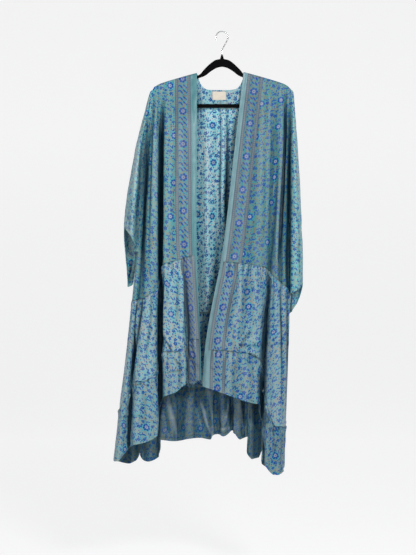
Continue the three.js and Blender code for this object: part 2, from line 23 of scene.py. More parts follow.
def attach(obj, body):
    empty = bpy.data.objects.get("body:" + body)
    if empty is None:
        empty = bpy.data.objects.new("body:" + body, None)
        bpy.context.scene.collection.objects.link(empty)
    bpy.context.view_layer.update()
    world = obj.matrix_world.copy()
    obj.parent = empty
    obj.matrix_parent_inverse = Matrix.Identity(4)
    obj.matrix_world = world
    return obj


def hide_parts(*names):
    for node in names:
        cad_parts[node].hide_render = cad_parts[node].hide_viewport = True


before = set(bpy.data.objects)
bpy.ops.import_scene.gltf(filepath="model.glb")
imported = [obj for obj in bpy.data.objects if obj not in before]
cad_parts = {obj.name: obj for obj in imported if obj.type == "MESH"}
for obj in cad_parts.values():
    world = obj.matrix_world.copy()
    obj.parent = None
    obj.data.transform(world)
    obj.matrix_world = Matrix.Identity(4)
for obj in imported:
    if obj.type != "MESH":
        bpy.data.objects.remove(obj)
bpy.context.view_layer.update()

log = logging.getLogger("kimono")

MM = 0.001
TO_MM = 1000.0
Array = np.ndarray
Surface = Callable[[Array, Array], Array]
Point2 = tuple[float, float]
Place3 = tuple[float, float, float]
Four = tuple[float, float, float, float]
Object = bpy.types.Object
Material = bpy.types.Material
NodeTree = bpy.types.NodeTree
Node = bpy.types.Node


# ---- The folds that the cloth hangs in, in millimetres ----


@dataclass(frozen=True)
class Fold:
    """A fold or seam down the body, placed at four heights, with the levels of seams and hem."""

    name: str
    x: Four
    y: Four
    seam1: float
    seam2: float
    hem: float


@dataclass(frozen=True)
class SleeveFold:
    """A fold that runs down a sleeve, placed at four heights, and how low the cuff is there."""

    name: str
    x: Four
    y: Four
    edge: float


BODY_HEIGHTS = (-372.0, -687.0, -1002.0, -1317.0)

BODY_FOLDS: tuple[Fold, ...] = (
    Fold("left band edge", (-79, -79, -68, -69), (-30, -44, -46, -48), -704, -964, -1093),
    Fold("left band seam", (-96.5, -93, -76, -79), (-33, -48, -58, -60), -704, -964, -1093),
    Fold("left border", (-116, -108, -89, -92), (-35, -50, -56, -58), -707, -964, -1096),
    Fold("left tier valley", (-130, -119, -108, -104), (-36, -50, -34, -38), -711, -974, -1099),
    Fold("left puff edge", (-138, -128, -120, -117), (-37, -52, -62, -64), -714, -988, -1108),
    Fold("left front panel", (-154, -150, -146, -141), (-38, -53, -68, -70), -720, -1002, -1128),
    Fold("left fold edge", (-180, -182, -181, -174), (-36, -50, -62, -64), -731, -1002, -1141),
    Fold("left fold wall", (-185, -186, -187, -183), (-20, -22, -30, -30), -737, -1008, -1146),
    Fold("left groove", (-192, -192, -195, -192), (-8, -8, -10, -8), -765, -1027, -1175),
    Fold("left ridge inside", (-202, -202, -205, -203), (-26, -34, -42, -44), -806, -1065, -1266),
    Fold("left ridge", (-213, -220, -236, -239), (-36, -46, -60, -64), -825, -1093, -1285),
    Fold("left ridge outside", (-222, -240, -265, -280), (-28, -36, -50, -54), -838, -1096, -1295),
    Fold("left front armhole", (-232, -252, -276, -293), (-12, -12, -20, -22), -841, -1122, -1308),
    Fold("left outer fold", (-236, -262, -288, -321), (-16, -10, -40, -48), -844, -1152, -1345),
    Fold("left side seam", (-239, -267, -301, -338), (2, 2, 2, 2), -844, -1186, -1349),
    Fold("left back fold", (-236, -261, -287, -322), (12, 14, 42, 50), -852, -1165, -1359),
    Fold("left tube", (-235, -257, -278, -296), (13, 16, 44, 54), -856, -1158, -1366),
    Fold("left tube edge", (-234, -253, -264, -272), (13, 16, 36, 42), -858, -1148, -1355),
    Fold("left back armhole", (-232, -248, -252, -255), (12, 12, 20, 18), -860, -1138, -1318),
    Fold("back tube edge", (-225, -236, -244, -256), (18, 18, 26, 34), -862, -1132, -1346),
    Fold("back fold 1", (-217, -222, -229, -234), (24, 22, 28, 46), -863, -1128, -1359),
    Fold("back tube", (-208, -209, -213, -212), (30, 34, 42, 50), -866, -1124, -1352),
    Fold("back ridge 1", (-198, -198, -198, -197), (34, 44, 48, 38), -869, -1121, -1334),
    Fold("back tuck 1", (-186, -186, -188, -195), (30, 34, 28, 18), -872, -1118, -1286),
    Fold("back fold 2", (-173, -170, -167, -161), (26, 28, 22, 16), -876, -1115, -1290),
    Fold("back ridge 2", (-142, -139, -136, -143), (34, 46, 50, 46), -879, -1112, -1293),
    Fold("back fold 3", (-110, -107, -101, -100), (27, 30, 26, 24), -882, -1112, -1283),
    Fold("left neck", (-79, -79, -72, -69), (33, 42, 44, 40), -882, -1112, -1282),
    Fold("back fold 4", (-50, -47, -44, -38), (24, 22, 22, 34), -882, -1112, -1287),
    Fold("back tuck 4", (-34, -32, -32, -27), (28, 31, 32, 20), -882, -1112, -1272),
    Fold("back ridge 4", (-19, -17, -18, -14), (33, 40, 42, 38), -882, -1112, -1270),
    Fold("back fold 5", (2, 2, 2, 5), (26, 28, 26, 26), -882, -1112, -1276),
    Fold("back ridge 5", (22, 25, 30, 34), (32, 40, 46, 50), -882, -1112, -1260),
    Fold("back tuck 5", (35, 38, 42, 43), (29, 33, 32, 30), -882, -1112, -1270),
    Fold("back fold 6", (47, 50, 56, 57), (26, 26, 24, 38), -882, -1112, -1287),
    Fold("right neck", (72, 76, 74, 72), (32, 42, 46, 44), -882, -1112, -1282),
    Fold("right tuck", (90, 90, 86, 85), (30, 34, 32, 18), -880, -1115, -1276),
    Fold("right tube edge", (102, 99, 94, 79), (28, 28, 24, 14), -878, -1119, -1318),
    Fold("back fold 7", (113, 108, 103, 96), (26, 24, 20, 30), -876, -1123, -1349),
    Fold("back ridge 7", (145, 139, 129, 118), (33, 44, 44, 42), -869, -1134, -1345),
    Fold("right notch", (158, 151, 140, 129), (30, 36, 34, 20), -866, -1146, -1318),
    Fold("back fold 8", (170, 163, 151, 131), (26, 28, 28, 34), -863, -1159, -1362),
    Fold("back ridge 8", (195, 186, 176, 158), (30, 38, 44, 50), -860, -1186, -1384),
    Fold("right back armhole", (213, 206, 196, 182), (12, 12, 22, 32), -854, -1204, -1386),
    Fold("right back fold", (214, 213, 205, 195), (12, 14, 25, 29), -844, -1214, -1373),
    Fold("right side seam", (216, 216, 209, 198), (2, 2, 2, 2), -832, -1229, -1370),
    Fold("right outer fold", (214, 214, 208, 195), (-10, -10, -16, -20), -819, -1238, -1373),
    Fold("right front armhole", (213, 206, 206, 194), (-12, -10, -26, -30), -806, -1238, -1380),
    Fold("right ridge outside", (203, 194, 200, 187), (-32, -40, -46, -48), -797, -1238, -1383),
    Fold("right thin groove", (195, 181, 187, 178), (-22, -28, -57, -60), -787, -1235, -1386),
    Fold("right ridge", (181, 170, 173, 164), (-36, -46, -62, -64), -775, -1235, -1386),
    Fold("right ridge inside", (169, 160, 145, 135), (-31, -38, -54, -52), -762, -1165, -1355),
    Fold("right groove", (159, 151, 132, 126), (-26, -26, -14, -8), -750, -1092, -1236),
    Fold("right fold edge", (142, 135, 118, 112), (-32, -40, -56, -58), -740, -1030, -1167),
    Fold("right front ridge", (126, 113, 94, 88), (-36, -50, -64, -66), -734, -1008, -1162),
    Fold("right front panel", (104, 82, 50, 54), (-34, -47, -58, -58), -729, -1005, -1150),
    Fold("right border", (79, 47, 0, 6), (-36, -52, -64, -64), -726, -998, -1131),
    Fold("right band seam", (53, 16, -35, -35), (-34, -50, -58, -60), -724, -998, -1118),
    Fold("right band edge", (39, 2, -54, -65), (-30, -44, -48, -50), -724, -998, -1112),
)

LEFT_SLEEVE_FOLDS: tuple[SleeveFold, ...] = (
    SleeveFold("small ridge", (-220, -238, -250, -262), (-5.6, -22, -27, -25), -693),
    SleeveFold("small groove", (-221, -245, -260, -274), (-5.2, -16, -16, -15), -684),
    SleeveFold("front ridge", (-222.5, -257, -280, -284), (-4.4, -34, -42, -42), -646),
    SleeveFold("outer edge", (-224, -272, -307, -302), (0, 0, 0, 0), -617),
    SleeveFold("outer edge behind", (-223.6, -271, -306, -300), (2, 12, 16, 16), -768),
    SleeveFold("back ridge", (-222.5, -258, -290, -296), (4.4, 30, 36, 34), -803),
    SleeveFold("back groove", (-220.5, -242, -257, -276), (5.4, 24, 28, 26), -794),
)

RIGHT_SLEEVE_FOLDS: tuple[SleeveFold, ...] = (
    SleeveFold("inner ridge", (220, 216, 214, 213), (-5.6, -26, -30, -28), -822),
    SleeveFold("front ridge", (221.5, 226, 230, 233), (-5.2, -38, -44, -42), -813),
    SleeveFold("outer slope", (223, 233, 241, 245), (-4, -26, -32, -30), -803),
    SleeveFold("outer edge", (224, 238, 250, 255), (0, 0, 0, 0), -787),
    SleeveFold("outer edge behind", (223.6, 237, 248, 254), (2.4, 14, 18, 18), -806),
    SleeveFold("back ridge", (222.5, 230, 238, 239), (4.4, 32, 40, 40), -854),
    SleeveFold("back groove", (220.5, 217, 214, 213), (5.4, 22, 28, 28), -888),
)


FOLD_X = np.array([fold.x for fold in BODY_FOLDS], float)
FOLD_Y = np.array([fold.y for fold in BODY_FOLDS], float)
FOLD_NAMES = [fold.name for fold in BODY_FOLDS]
LAST_FOLD = len(BODY_FOLDS) - 1
LEFT_SIDE = FOLD_NAMES.index("left side seam")
RIGHT_SIDE = FOLD_NAMES.index("right side seam")
LEFT_ARMHOLE = (FOLD_NAMES.index("left front armhole"), FOLD_NAMES.index("left back armhole"))
RIGHT_ARMHOLE = (FOLD_NAMES.index("right back armhole"), FOLD_NAMES.index("right front armhole"))
FLAT_FOLDS = (1, LEFT_SIDE, RIGHT_SIDE, LAST_FOLD - 1)

SHOULDER_X = (72.0, 120.0, 192.0, 208.0, 220.0, 232.0)
SHOULDER_Z = (-127.0, -140.0, -162.0, -171.0, -185.0, -205.0)
SHOULDER_ROUND = 5.0
SHOULDER_TIP_Z = -192.0
TIP_REACH = 217.5
TIP_CLEARANCE = 1.5
SEAM_GAP = 0.6
FOLD_RISE = 170.0
SIDE_TOP_Z = -580.0
UNDERARM_EASE = 36.0
NECK_CENTRE, NECK_HALF, NECK_TOP, NECK_DROP, NECK_SQUARE, NECK_BLEND = -4.0, 75.0, -127.0, 55.0, 6, 8.0
LEAST_STEP = 1e-3


def smooth(t: Array | float) -> Array:
    """Eases from 0 to 1 as t goes from 0 to 1, and stays there outside."""
    c = np.clip(t, 0.0, 1.0)
    return c * c * (3 - 2 * c)


def mix(a: Array | float, b: Array | float, t: Array | float) -> Array:
    """Goes straight from a to b as t goes from 0 to 1."""
    return a + (b - a) * t


def hermite(a: Array, b: Array, start: Array, end: Array, t: Array) -> Array:
    """Cubic from a to b with the given slopes at its ends."""
    t2, t3 = t * t, t * t * t
    ends = (2 * t3 - 3 * t2 + 1) * a + (3 * t2 - 2 * t3) * b
    return ends + (t3 - 2 * t2 + t) * start + (t3 - t2) * end


def by_height(heights: Sequence[float], values: Array, z: Array) -> Array:
    """Runs a cubic through values given at falling heights, straight on past both ends.

    Args:
        heights: The heights, from the top down.
        values: Values at those heights, in the last axis, for each place in z.
        z: The heights that are asked for.

    Returns:
        The value at each height in z.
    """
    h = np.asarray(heights, float)
    last = len(h) - 1
    z = np.asarray(z, float)
    i = np.clip(np.searchsorted(-h, -z, side="right") - 1, 0, last - 1)
    values = np.broadcast_to(values, z.shape + (last + 1,))

    def at(k: Array) -> Array:
        """The value at each place's own height k."""
        return np.take_along_axis(values, k[..., None], axis=-1)[..., 0]

    lo, hi = at(i), at(i + 1)
    before, after = np.maximum(i - 1, 0), np.minimum(i + 2, last)
    span = h[i + 1] - h[i]
    start = (hi - at(before)) / (h[i + 1] - h[before]) * span
    end = (at(after) - lo) / (h[after] - h[i]) * span
    t = (z - h[i]) / span
    inside = hermite(lo, hi, start, end, t)
    straight = lo + (hi - lo) * t
    return np.where((z > h[0]) | (z < h[last]), straight, inside)


def fold_curve(point_at: Callable[[Array], Array], count: int, u: Array) -> Array:
    """Rounded curve through a run of points at whole values of u, shaped by how far apart they are.

    Args:
        point_at: Gives the points for an array of indices, coordinates in the first axis.
        count: How many points there are.
        u: Where on the run, in points.

    Returns:
        The points of the curve, coordinates in the first axis.
    """
    i = np.clip(np.floor(u).astype(int), 0, count - 2)
    t = u - i
    p1, p2 = point_at(i), point_at(i + 1)
    p0 = np.where(i > 0, point_at(np.maximum(i - 1, 0)), 2 * p1 - p2)
    p3 = np.where(i + 2 < count, point_at(np.minimum(i + 2, count - 1)), 2 * p2 - p1)

    def step(a: Array, b: Array) -> Array:
        """Square root of the distance between two points."""
        return np.maximum(np.sqrt(np.sqrt(((b - a) ** 2).sum(axis=0))), LEAST_STEP)

    d0, d1, d2 = step(p0, p1), step(p1, p2), step(p2, p3)
    start = d1 * ((p1 - p0) / d0 - (p2 - p0) / (d0 + d1)) + (p2 - p1)
    end = d1 * ((p3 - p2) / d2 - (p3 - p1) / (d1 + d2)) + (p2 - p1)
    return hermite(p1, p2, start, end, t)


def drawn_in(x: Array, z: Array) -> Array:
    """Draws x in to the shoulder tips, more the higher z is above the chest."""
    over = np.maximum(0, np.abs(x) - TIP_REACH)
    share = smooth((z - BODY_HEIGHTS[0]) / (SHOULDER_TIP_Z - BODY_HEIGHTS[0]))
    return x - np.sign(x) * over * share


def body_section(u: Array, z: Array) -> Array:
    """Place in plan (x, y) of the body's run of cloth, at fold u and height z."""

    def point_at(i: Array) -> Array:
        """Place in plan of fold i at height z."""
        x = drawn_in(by_height(BODY_HEIGHTS, FOLD_X[i], z), z)
        return np.stack([x, by_height(BODY_HEIGHTS, FOLD_Y[i], z)])

    return fold_curve(point_at, LAST_FOLD + 1, u)


def level_at(key: str, u: Array) -> Array:
    """Height of the seam or hem called key, at fold u."""
    levels = np.array([getattr(fold, key) for fold in BODY_FOLDS], float)
    return fold_curve(lambda i: np.stack([levels[i], 0 * levels[i]]), LAST_FOLD + 1, u)[0]


def shoulder_height(x: Array) -> Array:
    """Height of the shoulder seam over x."""
    reach = -np.maximum(np.abs(x), SHOULDER_X[0])
    return by_height([-v for v in SHOULDER_X], np.array(SHOULDER_Z), reach)


def is_back(u: Array) -> Array:
    """Says whether fold u is on the garment's back."""
    return (u > LEFT_SIDE) & (u < RIGHT_SIDE)


def top_height(u: Array) -> Array:
    """Top edge of the body at fold u: the shoulder seam, or the dropped neckline on the back."""
    x = body_section(u, np.full_like(u, NECK_TOP))[0]
    across = np.minimum(1, np.abs(x - NECK_CENTRE) / NECK_HALF)
    neckline = NECK_TOP - NECK_DROP * (1 - across**NECK_SQUARE)
    return np.where(is_back(u) & (across < 1), neckline, shoulder_height(x))


def underarm_bridge(u: Array, z: Array) -> Array:
    """Place in plan of the body, its side drawn straight across the armhole's end and let out below it.

    Args:
        u: Folds round the body.
        z: Heights.

    Returns:
        The places (x, y), coordinates in the first axis.
    """
    place = body_section(u, z)
    out = smooth((SIDE_TOP_Z - z) / UNDERARM_EASE)
    for first, last in (LEFT_ARMHOLE, RIGHT_ARMHOLE):
        start, end = body_section(np.full_like(z, first), z), body_section(np.full_like(z, last), z)
        straight = mix(start, end, (u - first) / (last - first))
        inside = (u > first) & (u < last)
        place = np.where(inside, mix(straight, place, out), place)
    return place


def upper_body(u: Array, v: Array) -> Array:
    """Points of the body above the first tier seam.

    Args:
        u: Folds round the body.
        v: 0 at the shoulder seam, 1 past the hanger's arm, 2 under the armhole, 3 at the tier.

    Returns:
        The points, coordinates in the first axis.
    """
    side = np.where(is_back(u), 1.0, -1.0)
    top = top_height(u)
    angle = np.clip(v, 0, 1) * math.pi / 2
    rounding = top - SHOULDER_ROUND * (1 - np.cos(angle))
    start = top - SHOULDER_ROUND
    fall = np.where(v <= 2, mix(start, SIDE_TOP_Z, v - 1), mix(SIDE_TOP_Z, level_at("seam1", u), v - 2))
    z = np.where(v <= 1, rounding, fall)
    x, y = underarm_bridge(u, z)
    in_neck = smooth((NECK_HALF - np.abs(x - NECK_CENTRE)) / NECK_BLEND + 0.5) * (side > 0)
    y_top = side * SHOULDER_ROUND * mix(np.sin(angle), 1, in_neck)
    y_fall = mix(side * SHOULDER_ROUND, y, smooth((start - z) / FOLD_RISE))
    return np.stack([x, np.where(v <= 1, y_top, y_fall), z])


@dataclass(frozen=True)
class Gathers:
    """Broad gathers of a tier: waves per fold, depth in millimetres, shares of the height."""

    per_fold: float
    depth: float
    grow: float
    left: float
    phase: float
    room: float = 26.0
    calm_folds: float = 0.8
    evenness: float = 0.65
    uneven_rate: float = 2.3
    drift: float = 0.15
    drift_rate: float = 1.7

    def wave(self, u: Array, v: Array, room: Array) -> Array:
        """How far the cloth stands out.

        Args:
            u: Folds round the body.
            v: Share of the tier's height, from its seam.
            room: Width of cloth from fold to fold there.

        Returns:
            The distance outward, in millimetres.
        """
        calm = np.ones_like(u)
        for fold in FLAT_FOLDS:
            calm = calm * smooth(np.abs(u - fold) / self.calm_folds)
        uneven = self.evenness + (1 - self.evenness) * np.sin(self.uneven_rate * u + self.phase)
        waves = self.per_fold * u + self.drift * np.sin(self.drift_rate * u)
        turn = np.sin(2 * math.pi * waves + self.phase)
        fade = smooth((v - self.grow) / (1 - self.grow))
        rise = smooth(v / self.grow) * mix(1, self.left, fade)
        return self.depth * calm * uneven * np.minimum(1, room / self.room) * rise * turn


BESIDE = 0.02
TIER_GATHERS = {
    "tier1": Gathers(0.8, 3.6, 0.3, 0.0, 0.4),
    "tier2": Gathers(0.75, 3.8, 0.4, 1.0, 1.9),
}
TIER_LEVELS = {"tier1": ("seam1", "seam2"), "tier2": ("seam2", "hem")}


def tier_surface(tier: str) -> Surface:
    """Surface of a tier.

    Args:
        tier: Its name.

    Returns:
        The points' function of fold u and of v, from 0 at the gathered seam to 1 at the lower edge.
    """
    top, bottom = TIER_LEVELS[tier]

    def surface(u: Array, v: Array) -> Array:
        """Points of the tier at u and v."""
        z = mix(level_at(top, u), level_at(bottom, u), v)
        x, y = body_section(u, z)
        (xa, ya), (xb, yb) = body_section(u - BESIDE, z), body_section(u + BESIDE, z)
        length = np.hypot(xb - xa, yb - ya)
        out = TIER_GATHERS[tier].wave(u, v, length / (2 * BESIDE))
        return np.stack([x - out * (yb - ya) / length, y + out * (xb - xa) / length, z])

    return surface


def band_surface(u: Array, v: Array) -> Array:
    """Surface of a front band: v from 0 to 3 is the upper body, then there is a unit for each tier."""
    tier1, tier2 = tier_surface("tier1"), tier_surface("tier2")
    lower = np.where(v <= 4, tier1(u, np.clip(v - 3, 0, 1)), tier2(u, np.clip(v - 4, 0, 1)))
    return np.where(v <= 3, upper_body(u, np.minimum(v, 3)), lower)


@dataclass(frozen=True)
class SleeveShape:
    """Folds of a sleeve and where its edges hang from the armhole and run on as the underarm seam."""

    heights: Four
    front: str
    back: str
    seam_x: Point2
    seam_y: Point2
    seam_edge: Point2
    folds: tuple[SleeveFold, ...]

    @property
    def last(self) -> int:
        """Index of the sleeve's back edge, in folds."""
        return len(self.folds) + 1

    def surface(self, u: Array, v: Array) -> Array:
        """Points of the sleeve.

        Args:
            u: Folds from the front armhole to the back one.
            v: 0 at the shoulder tip, 1 at the cuff.

        Returns:
            The points, coordinates in the first axis.
        """
        edges = np.array([self.seam_edge[0], *(f.edge for f in self.folds), self.seam_edge[1]], float)
        top = self.heights[0]
        edge = fold_curve(lambda i: np.stack([edges[i], 0 * edges[i]]), self.last + 1, u)[0]
        fold_x = np.array([f.x for f in self.folds], float)
        fold_y = np.array([f.y for f in self.folds], float)
        top_x = np.interp(u, np.arange(1, self.last), fold_x[:, 0])
        top = np.minimum(top, shoulder_height(top_x) + TIP_CLEARANCE)
        z = mix(top, edge, v)

        def point_at(i: Array) -> Array:
            """Place in plan of fold i, or of an edge before the first and after the last."""
            k = np.clip(i - 1, 0, len(self.folds) - 1)
            inner = np.stack([by_height(self.heights, places[k], z) for places in (fold_x, fold_y)])
            front, back = self._edge_at(True, z), self._edge_at(False, z)
            return np.where(i == 0, front, np.where(i == self.last, back, inner))

        x, y = fold_curve(point_at, self.last + 1, u)
        return np.stack([x, y, z])

    def _edge_at(self, is_front: bool, z: Array) -> Array:
        """Place in plan of the sleeve's edge.

        Args:
            is_front: Whether the front edge is meant, or the back one.
            z: Heights.

        Returns:
            The places (x, y): along the armhole, and then down the underarm seam.
        """
        u = np.full_like(z, FOLD_NAMES.index(self.front if is_front else self.back))
        x, y = body_section(u, z)
        start = shoulder_height(x) - SHOULDER_ROUND
        side = -1.0 if is_front else 1.0
        reach = smooth((start - z) / FOLD_RISE)
        hole = np.stack([x + np.sign(x) * SEAM_GAP, mix(side * SHOULDER_ROUND, y, reach)])
        below = smooth((SIDE_TOP_Z - z) / UNDERARM_EASE)
        share = (SIDE_TOP_Z - z) / (SIDE_TOP_Z - self.seam_edge[0])
        seam_y = self.seam_y[0] if is_front else self.seam_y[1]
        seam = np.stack([mix(self.seam_x[0], self.seam_x[1], share), z * 0 + seam_y])
        return mix(hole, seam, below)


LEFT_SLEEVE = SleeveShape(
    heights=(-181.0, -372.0, -592.0, -750.0),
    front="left front armhole",
    back="left back armhole",
    seam_x=(-258.0, -275.0),
    seam_y=(-3.0, 3.0),
    seam_edge=(-690.0, -768.0),
    folds=LEFT_SLEEVE_FOLDS,
)
RIGHT_SLEEVE = SleeveShape(
    heights=(-181.0, -372.0, -592.0, -813.0),
    front="right front armhole",
    back="right back armhole",
    seam_x=(223.0, 221.0),
    seam_y=(-3.0, 3.0),
    seam_edge=(-822.0, -880.0),
    folds=RIGHT_SLEEVE_FOLDS,
)


# ---- Creases, gathers and sheets of cloth ----


class CreaseForm(Enum):
    """What a crease looks like across its line."""

    TROUGH = "trough"
    RIDGE = "ridge"
    TUCK = "tuck"


FAR_AWAY = 1e9
LINE_ENDS = (0.02, 0.98)
TUCK_STEEPNESS, TUCK_REACH = 1.6, 3.2
TUCK_SHADE, TUCK_SHADE_OFFSET, TUCK_SHADE_WIDTH = 0.2, 0.35, 0.55
RIM_SHARE, RIM_REACH = 0.28, 2.6
TROUGH_SHADE, RIDGE_SHADE, SHADE_REACH = 0.05, -0.02, 0.9


def bell(distance: Array, width: float) -> Array:
    """1 at no distance, and less the farther away, by a width."""
    return np.exp(-((distance / width) ** 2))


@dataclass(frozen=True)
class Crease:
    """A mark that hanging or packing has pressed into the cloth, along a line seen from the front, with
    painted shade along it; a shade below 0 is painted highlight, and a mark of no depth is only the painted
    line.
    """

    form: CreaseForm
    depth: float
    width: float
    line: tuple[Point2, ...]
    shade: float | None = None

    def press(self, x: Array, z: Array) -> tuple[Array, Array]:
        """Presses the crease into the cloth.

        Args:
            x: Places across, in millimetres.
            z: Heights of the same places.

        Returns:
            How far the cloth moves outward there, in millimetres, and its painted shade, below 0 for
            painted highlight.
        """
        best, signed, along = self._nearest(x, z)
        taper = np.sqrt(np.clip(np.sin(math.pi * np.clip(along, *LINE_ENDS)), 0, 1))
        if self.form is CreaseForm.TUCK:
            s = signed / self.width
            step = self.depth * taper * np.tanh(TUCK_STEEPNESS * s) * bell(best, TUCK_REACH * self.width)
            dark = TUCK_SHADE * self.depth if self.shade is None else self.shade
            return step, dark * taper * bell(s + TUCK_SHADE_OFFSET, TUCK_SHADE_WIDTH)
        across = bell(best, self.width) - RIM_SHARE * bell(best, RIM_REACH * self.width)
        side = 1 if self.form is CreaseForm.RIDGE else -1
        usual = (TROUGH_SHADE if side < 0 else RIDGE_SHADE) * self.depth
        dark = usual if self.shade is None else self.shade
        return side * self.depth * taper * across, dark * taper * bell(best, SHADE_REACH * self.width)

    def _nearest(self, x: Array, z: Array) -> tuple[Array, Array, Array]:
        """Measures from each place to the crease's line.

        Args:
            x: Places across, in millimetres.
            z: Heights of the same places.

        Returns:
            The distance, the same with its side as sign, and the share of the line run through.
        """
        points = np.array(self.line, float)
        starts, ends = points[:-1], points[1:]
        lengths = np.hypot(*(ends - starts).T)
        before = np.concatenate([[0.0], np.cumsum(lengths)])
        best = np.full(x.shape, FAR_AWAY)
        signed = np.zeros(x.shape)
        along = np.zeros(x.shape)
        for (ax, az), (bx, bz), length, run in zip(starts, ends, lengths, before):
            dx, dz = (bx - ax) / length, (bz - az) / length
            t = np.clip((x - ax) * dx + (z - az) * dz, 0, length)
            px, pz = x - (ax + t * dx), z - (az + t * dz)
            distance = np.hypot(px, pz)
            nearer = distance < best
            best = np.where(nearer, distance, best)
            signed = np.where(nearer, px * -dz + pz * dx, signed)
            along = np.where(nearer, (run + t) / before[-1], along)
        return best, signed, along


PLEAT_FALL, FOLD_PITCH, FOLD_FALL = 5.5, 2.7, 14.0
NEAR_WEIGHT, FAR_WEIGHT, FAR_REACH, SEAM_EASE = 2.0, 1.7, 3.2, 4.0
ROLL_MEAN, ROLL_SWING, ROLL_PITCH, ROLL_BELOW, ROLL_WIDTH = 0.7, 0.6, 17.0, 9.0, 7.0
STITCH_DIP, STITCH_WIDTH = 1.1, 2.6
PUCKER_MEAN, PUCKER_SWING, PUCKER_PITCH, PUCKER_WIDTH = 0.26, 0.5, 8.0, 2.8
PLEAT_SHADE, PLEAT_SHADE_RANGE, PLEAT_SHADE_REACH = -1.5, (-0.12, 0.5), 0.6
FOLD_SEED, ROLL_SEED, PUCKER_SEED = 7, 13, 21


@dataclass(frozen=True)
class FineGathers:
    """Small irregular pleats that spread down from a gathered seam."""

    depth: float
    pitch: float
    reach: float
    seed: float
    seam_roll: float

    def _pleats(self, across: Array, below: Array) -> Array:
        """The small pleats, from -1 to 1."""
        return field_of_noise(across / self.pitch, below / (PLEAT_FALL * self.pitch), self.seed)

    def lift(self, across: Array, below: Array) -> Array:
        """Raises the cloth in pleats and in a roll along its seam.

        Args:
            across: Places across the cloth, in millimetres.
            below: How far the same places are below the seam.

        Returns:
            How far the cloth stands out there, in millimetres.
        """
        wide, long = FOLD_PITCH * self.pitch, FOLD_FALL * self.pitch
        folds = field_of_noise(across / wide, below / long, self.seed + FOLD_SEED)
        near = NEAR_WEIGHT * np.exp(-below / self.reach) * self._pleats(across, below)
        far = FAR_WEIGHT * np.exp(-below / (FAR_REACH * self.reach)) * folds
        swing = field_of_noise(across / ROLL_PITCH, across * 0, self.seed + ROLL_SEED)
        puff = bell(below - ROLL_BELOW, ROLL_WIDTH) - STITCH_DIP * bell(below, STITCH_WIDTH)
        rise = self.depth * (near + far) * smooth(below / SEAM_EASE)
        return rise + self.seam_roll * (ROLL_MEAN + ROLL_SWING * swing) * puff

    def shade(self, across: Array, below: Array) -> Array:
        """Painted shade along the seam's puckers and in the pleats' hollows, with a little painted
        highlight on their crests, at places across the cloth and below the seam.
        """
        swing = field_of_noise(across / PUCKER_PITCH, across * 0, self.seed + PUCKER_SEED)
        line = (PUCKER_MEAN + PUCKER_SWING * swing) * bell(below, PUCKER_WIDTH)
        hollows = np.clip(PLEAT_SHADE * self._pleats(across, below), *PLEAT_SHADE_RANGE)
        return line + hollows * np.exp(-below / (PLEAT_SHADE_REACH * self.reach))


def field_of_noise(a: Array, b: Array, seed: float) -> Array:
    """Smooth noise from -1 to 1 over a plane, the same each time for the same seed."""
    flat = [noise.noise(Vector((p, q, seed))) for p, q in zip(a.ravel().tolist(), b.ravel().tolist())]
    return np.array(flat).reshape(a.shape)


def run_of(points: Array, axis: int) -> Array:
    """Distance along a grid's lines from their start, for points with coordinates in the first axis."""
    steps = np.sqrt((np.diff(points, axis=axis) ** 2).sum(axis=0))
    pad = [(0, 0), (0, 0)]
    pad[axis - 1] = (1, 0)
    return np.pad(np.cumsum(steps, axis=axis - 1), pad)


FINE_STEPS = 400
RowRun = tuple[float, float, int]


def even_folds(marks: Sequence[float], z: float, spacing: float) -> Array:
    """Fold positions that lie evenly on the body's cloth at one height, with each mark among them.

    Args:
        marks: Folds that get a grid line of their own, in order.
        z: The height at which the spacing holds.
        spacing: Greatest distance between grid lines, in millimetres.

    Returns:
        The positions of the grid's lines.
    """
    found = [np.array([float(marks[0])])]
    for a, b in zip(marks, marks[1:]):
        fine = np.linspace(a, b, FINE_STEPS)
        x, y = body_section(fine, np.full_like(fine, z))
        run = np.concatenate([[0.0], np.cumsum(np.hypot(np.diff(x), np.diff(y)))])
        count = max(1, math.ceil(run[-1] / spacing))
        found.append(np.interp(np.linspace(0, run[-1], count + 1)[1:], run, fine))
    return np.concatenate(found)


def rows(*runs: RowRun) -> Array:
    """Grid rows from runs of (start, end, number of steps) that follow one another."""
    parts = [np.linspace(a, b, n + 1)[(1 if k else 0) :] for k, (a, b, n) in enumerate(runs)]
    return np.concatenate(parts)


TURN_EDGE, TURN_INSIDE, TURN_END = (0.3, 0.75), 1.15, 1.05
TURN_ROWS = 3
LAP_LIFT, LAP_EASE = 2.6, 12.0
HOLLOW_REACH, HOLLOW_SHADE, HOLLOW_RANGE = 5, -0.17, (-0.07, 0.5)
SHADE_RANGE = (-0.3, 0.92)
# The back is seen from inside, so its painted shade counts the other way, and weaker.
BACK_FACING = -0.8
BROAD_WRINKLE, BROAD_PITCH, BROAD_FALL = 1.6, 22.0, 120.0
SMALL_PITCH, SMALL_FALL, SMALL_SEED = 13.0, 34.0, 3
END_EASE, GATHER_EASE = 2.0, 10.0
TINY = 1e-9
WALL_ANGLE = math.radians(60)


class Anchor(Enum):
    """The grid line from which the print is laid out across a sheet."""

    FIRST = "first"
    LAST = "last"
    MIDDLE = "middle"


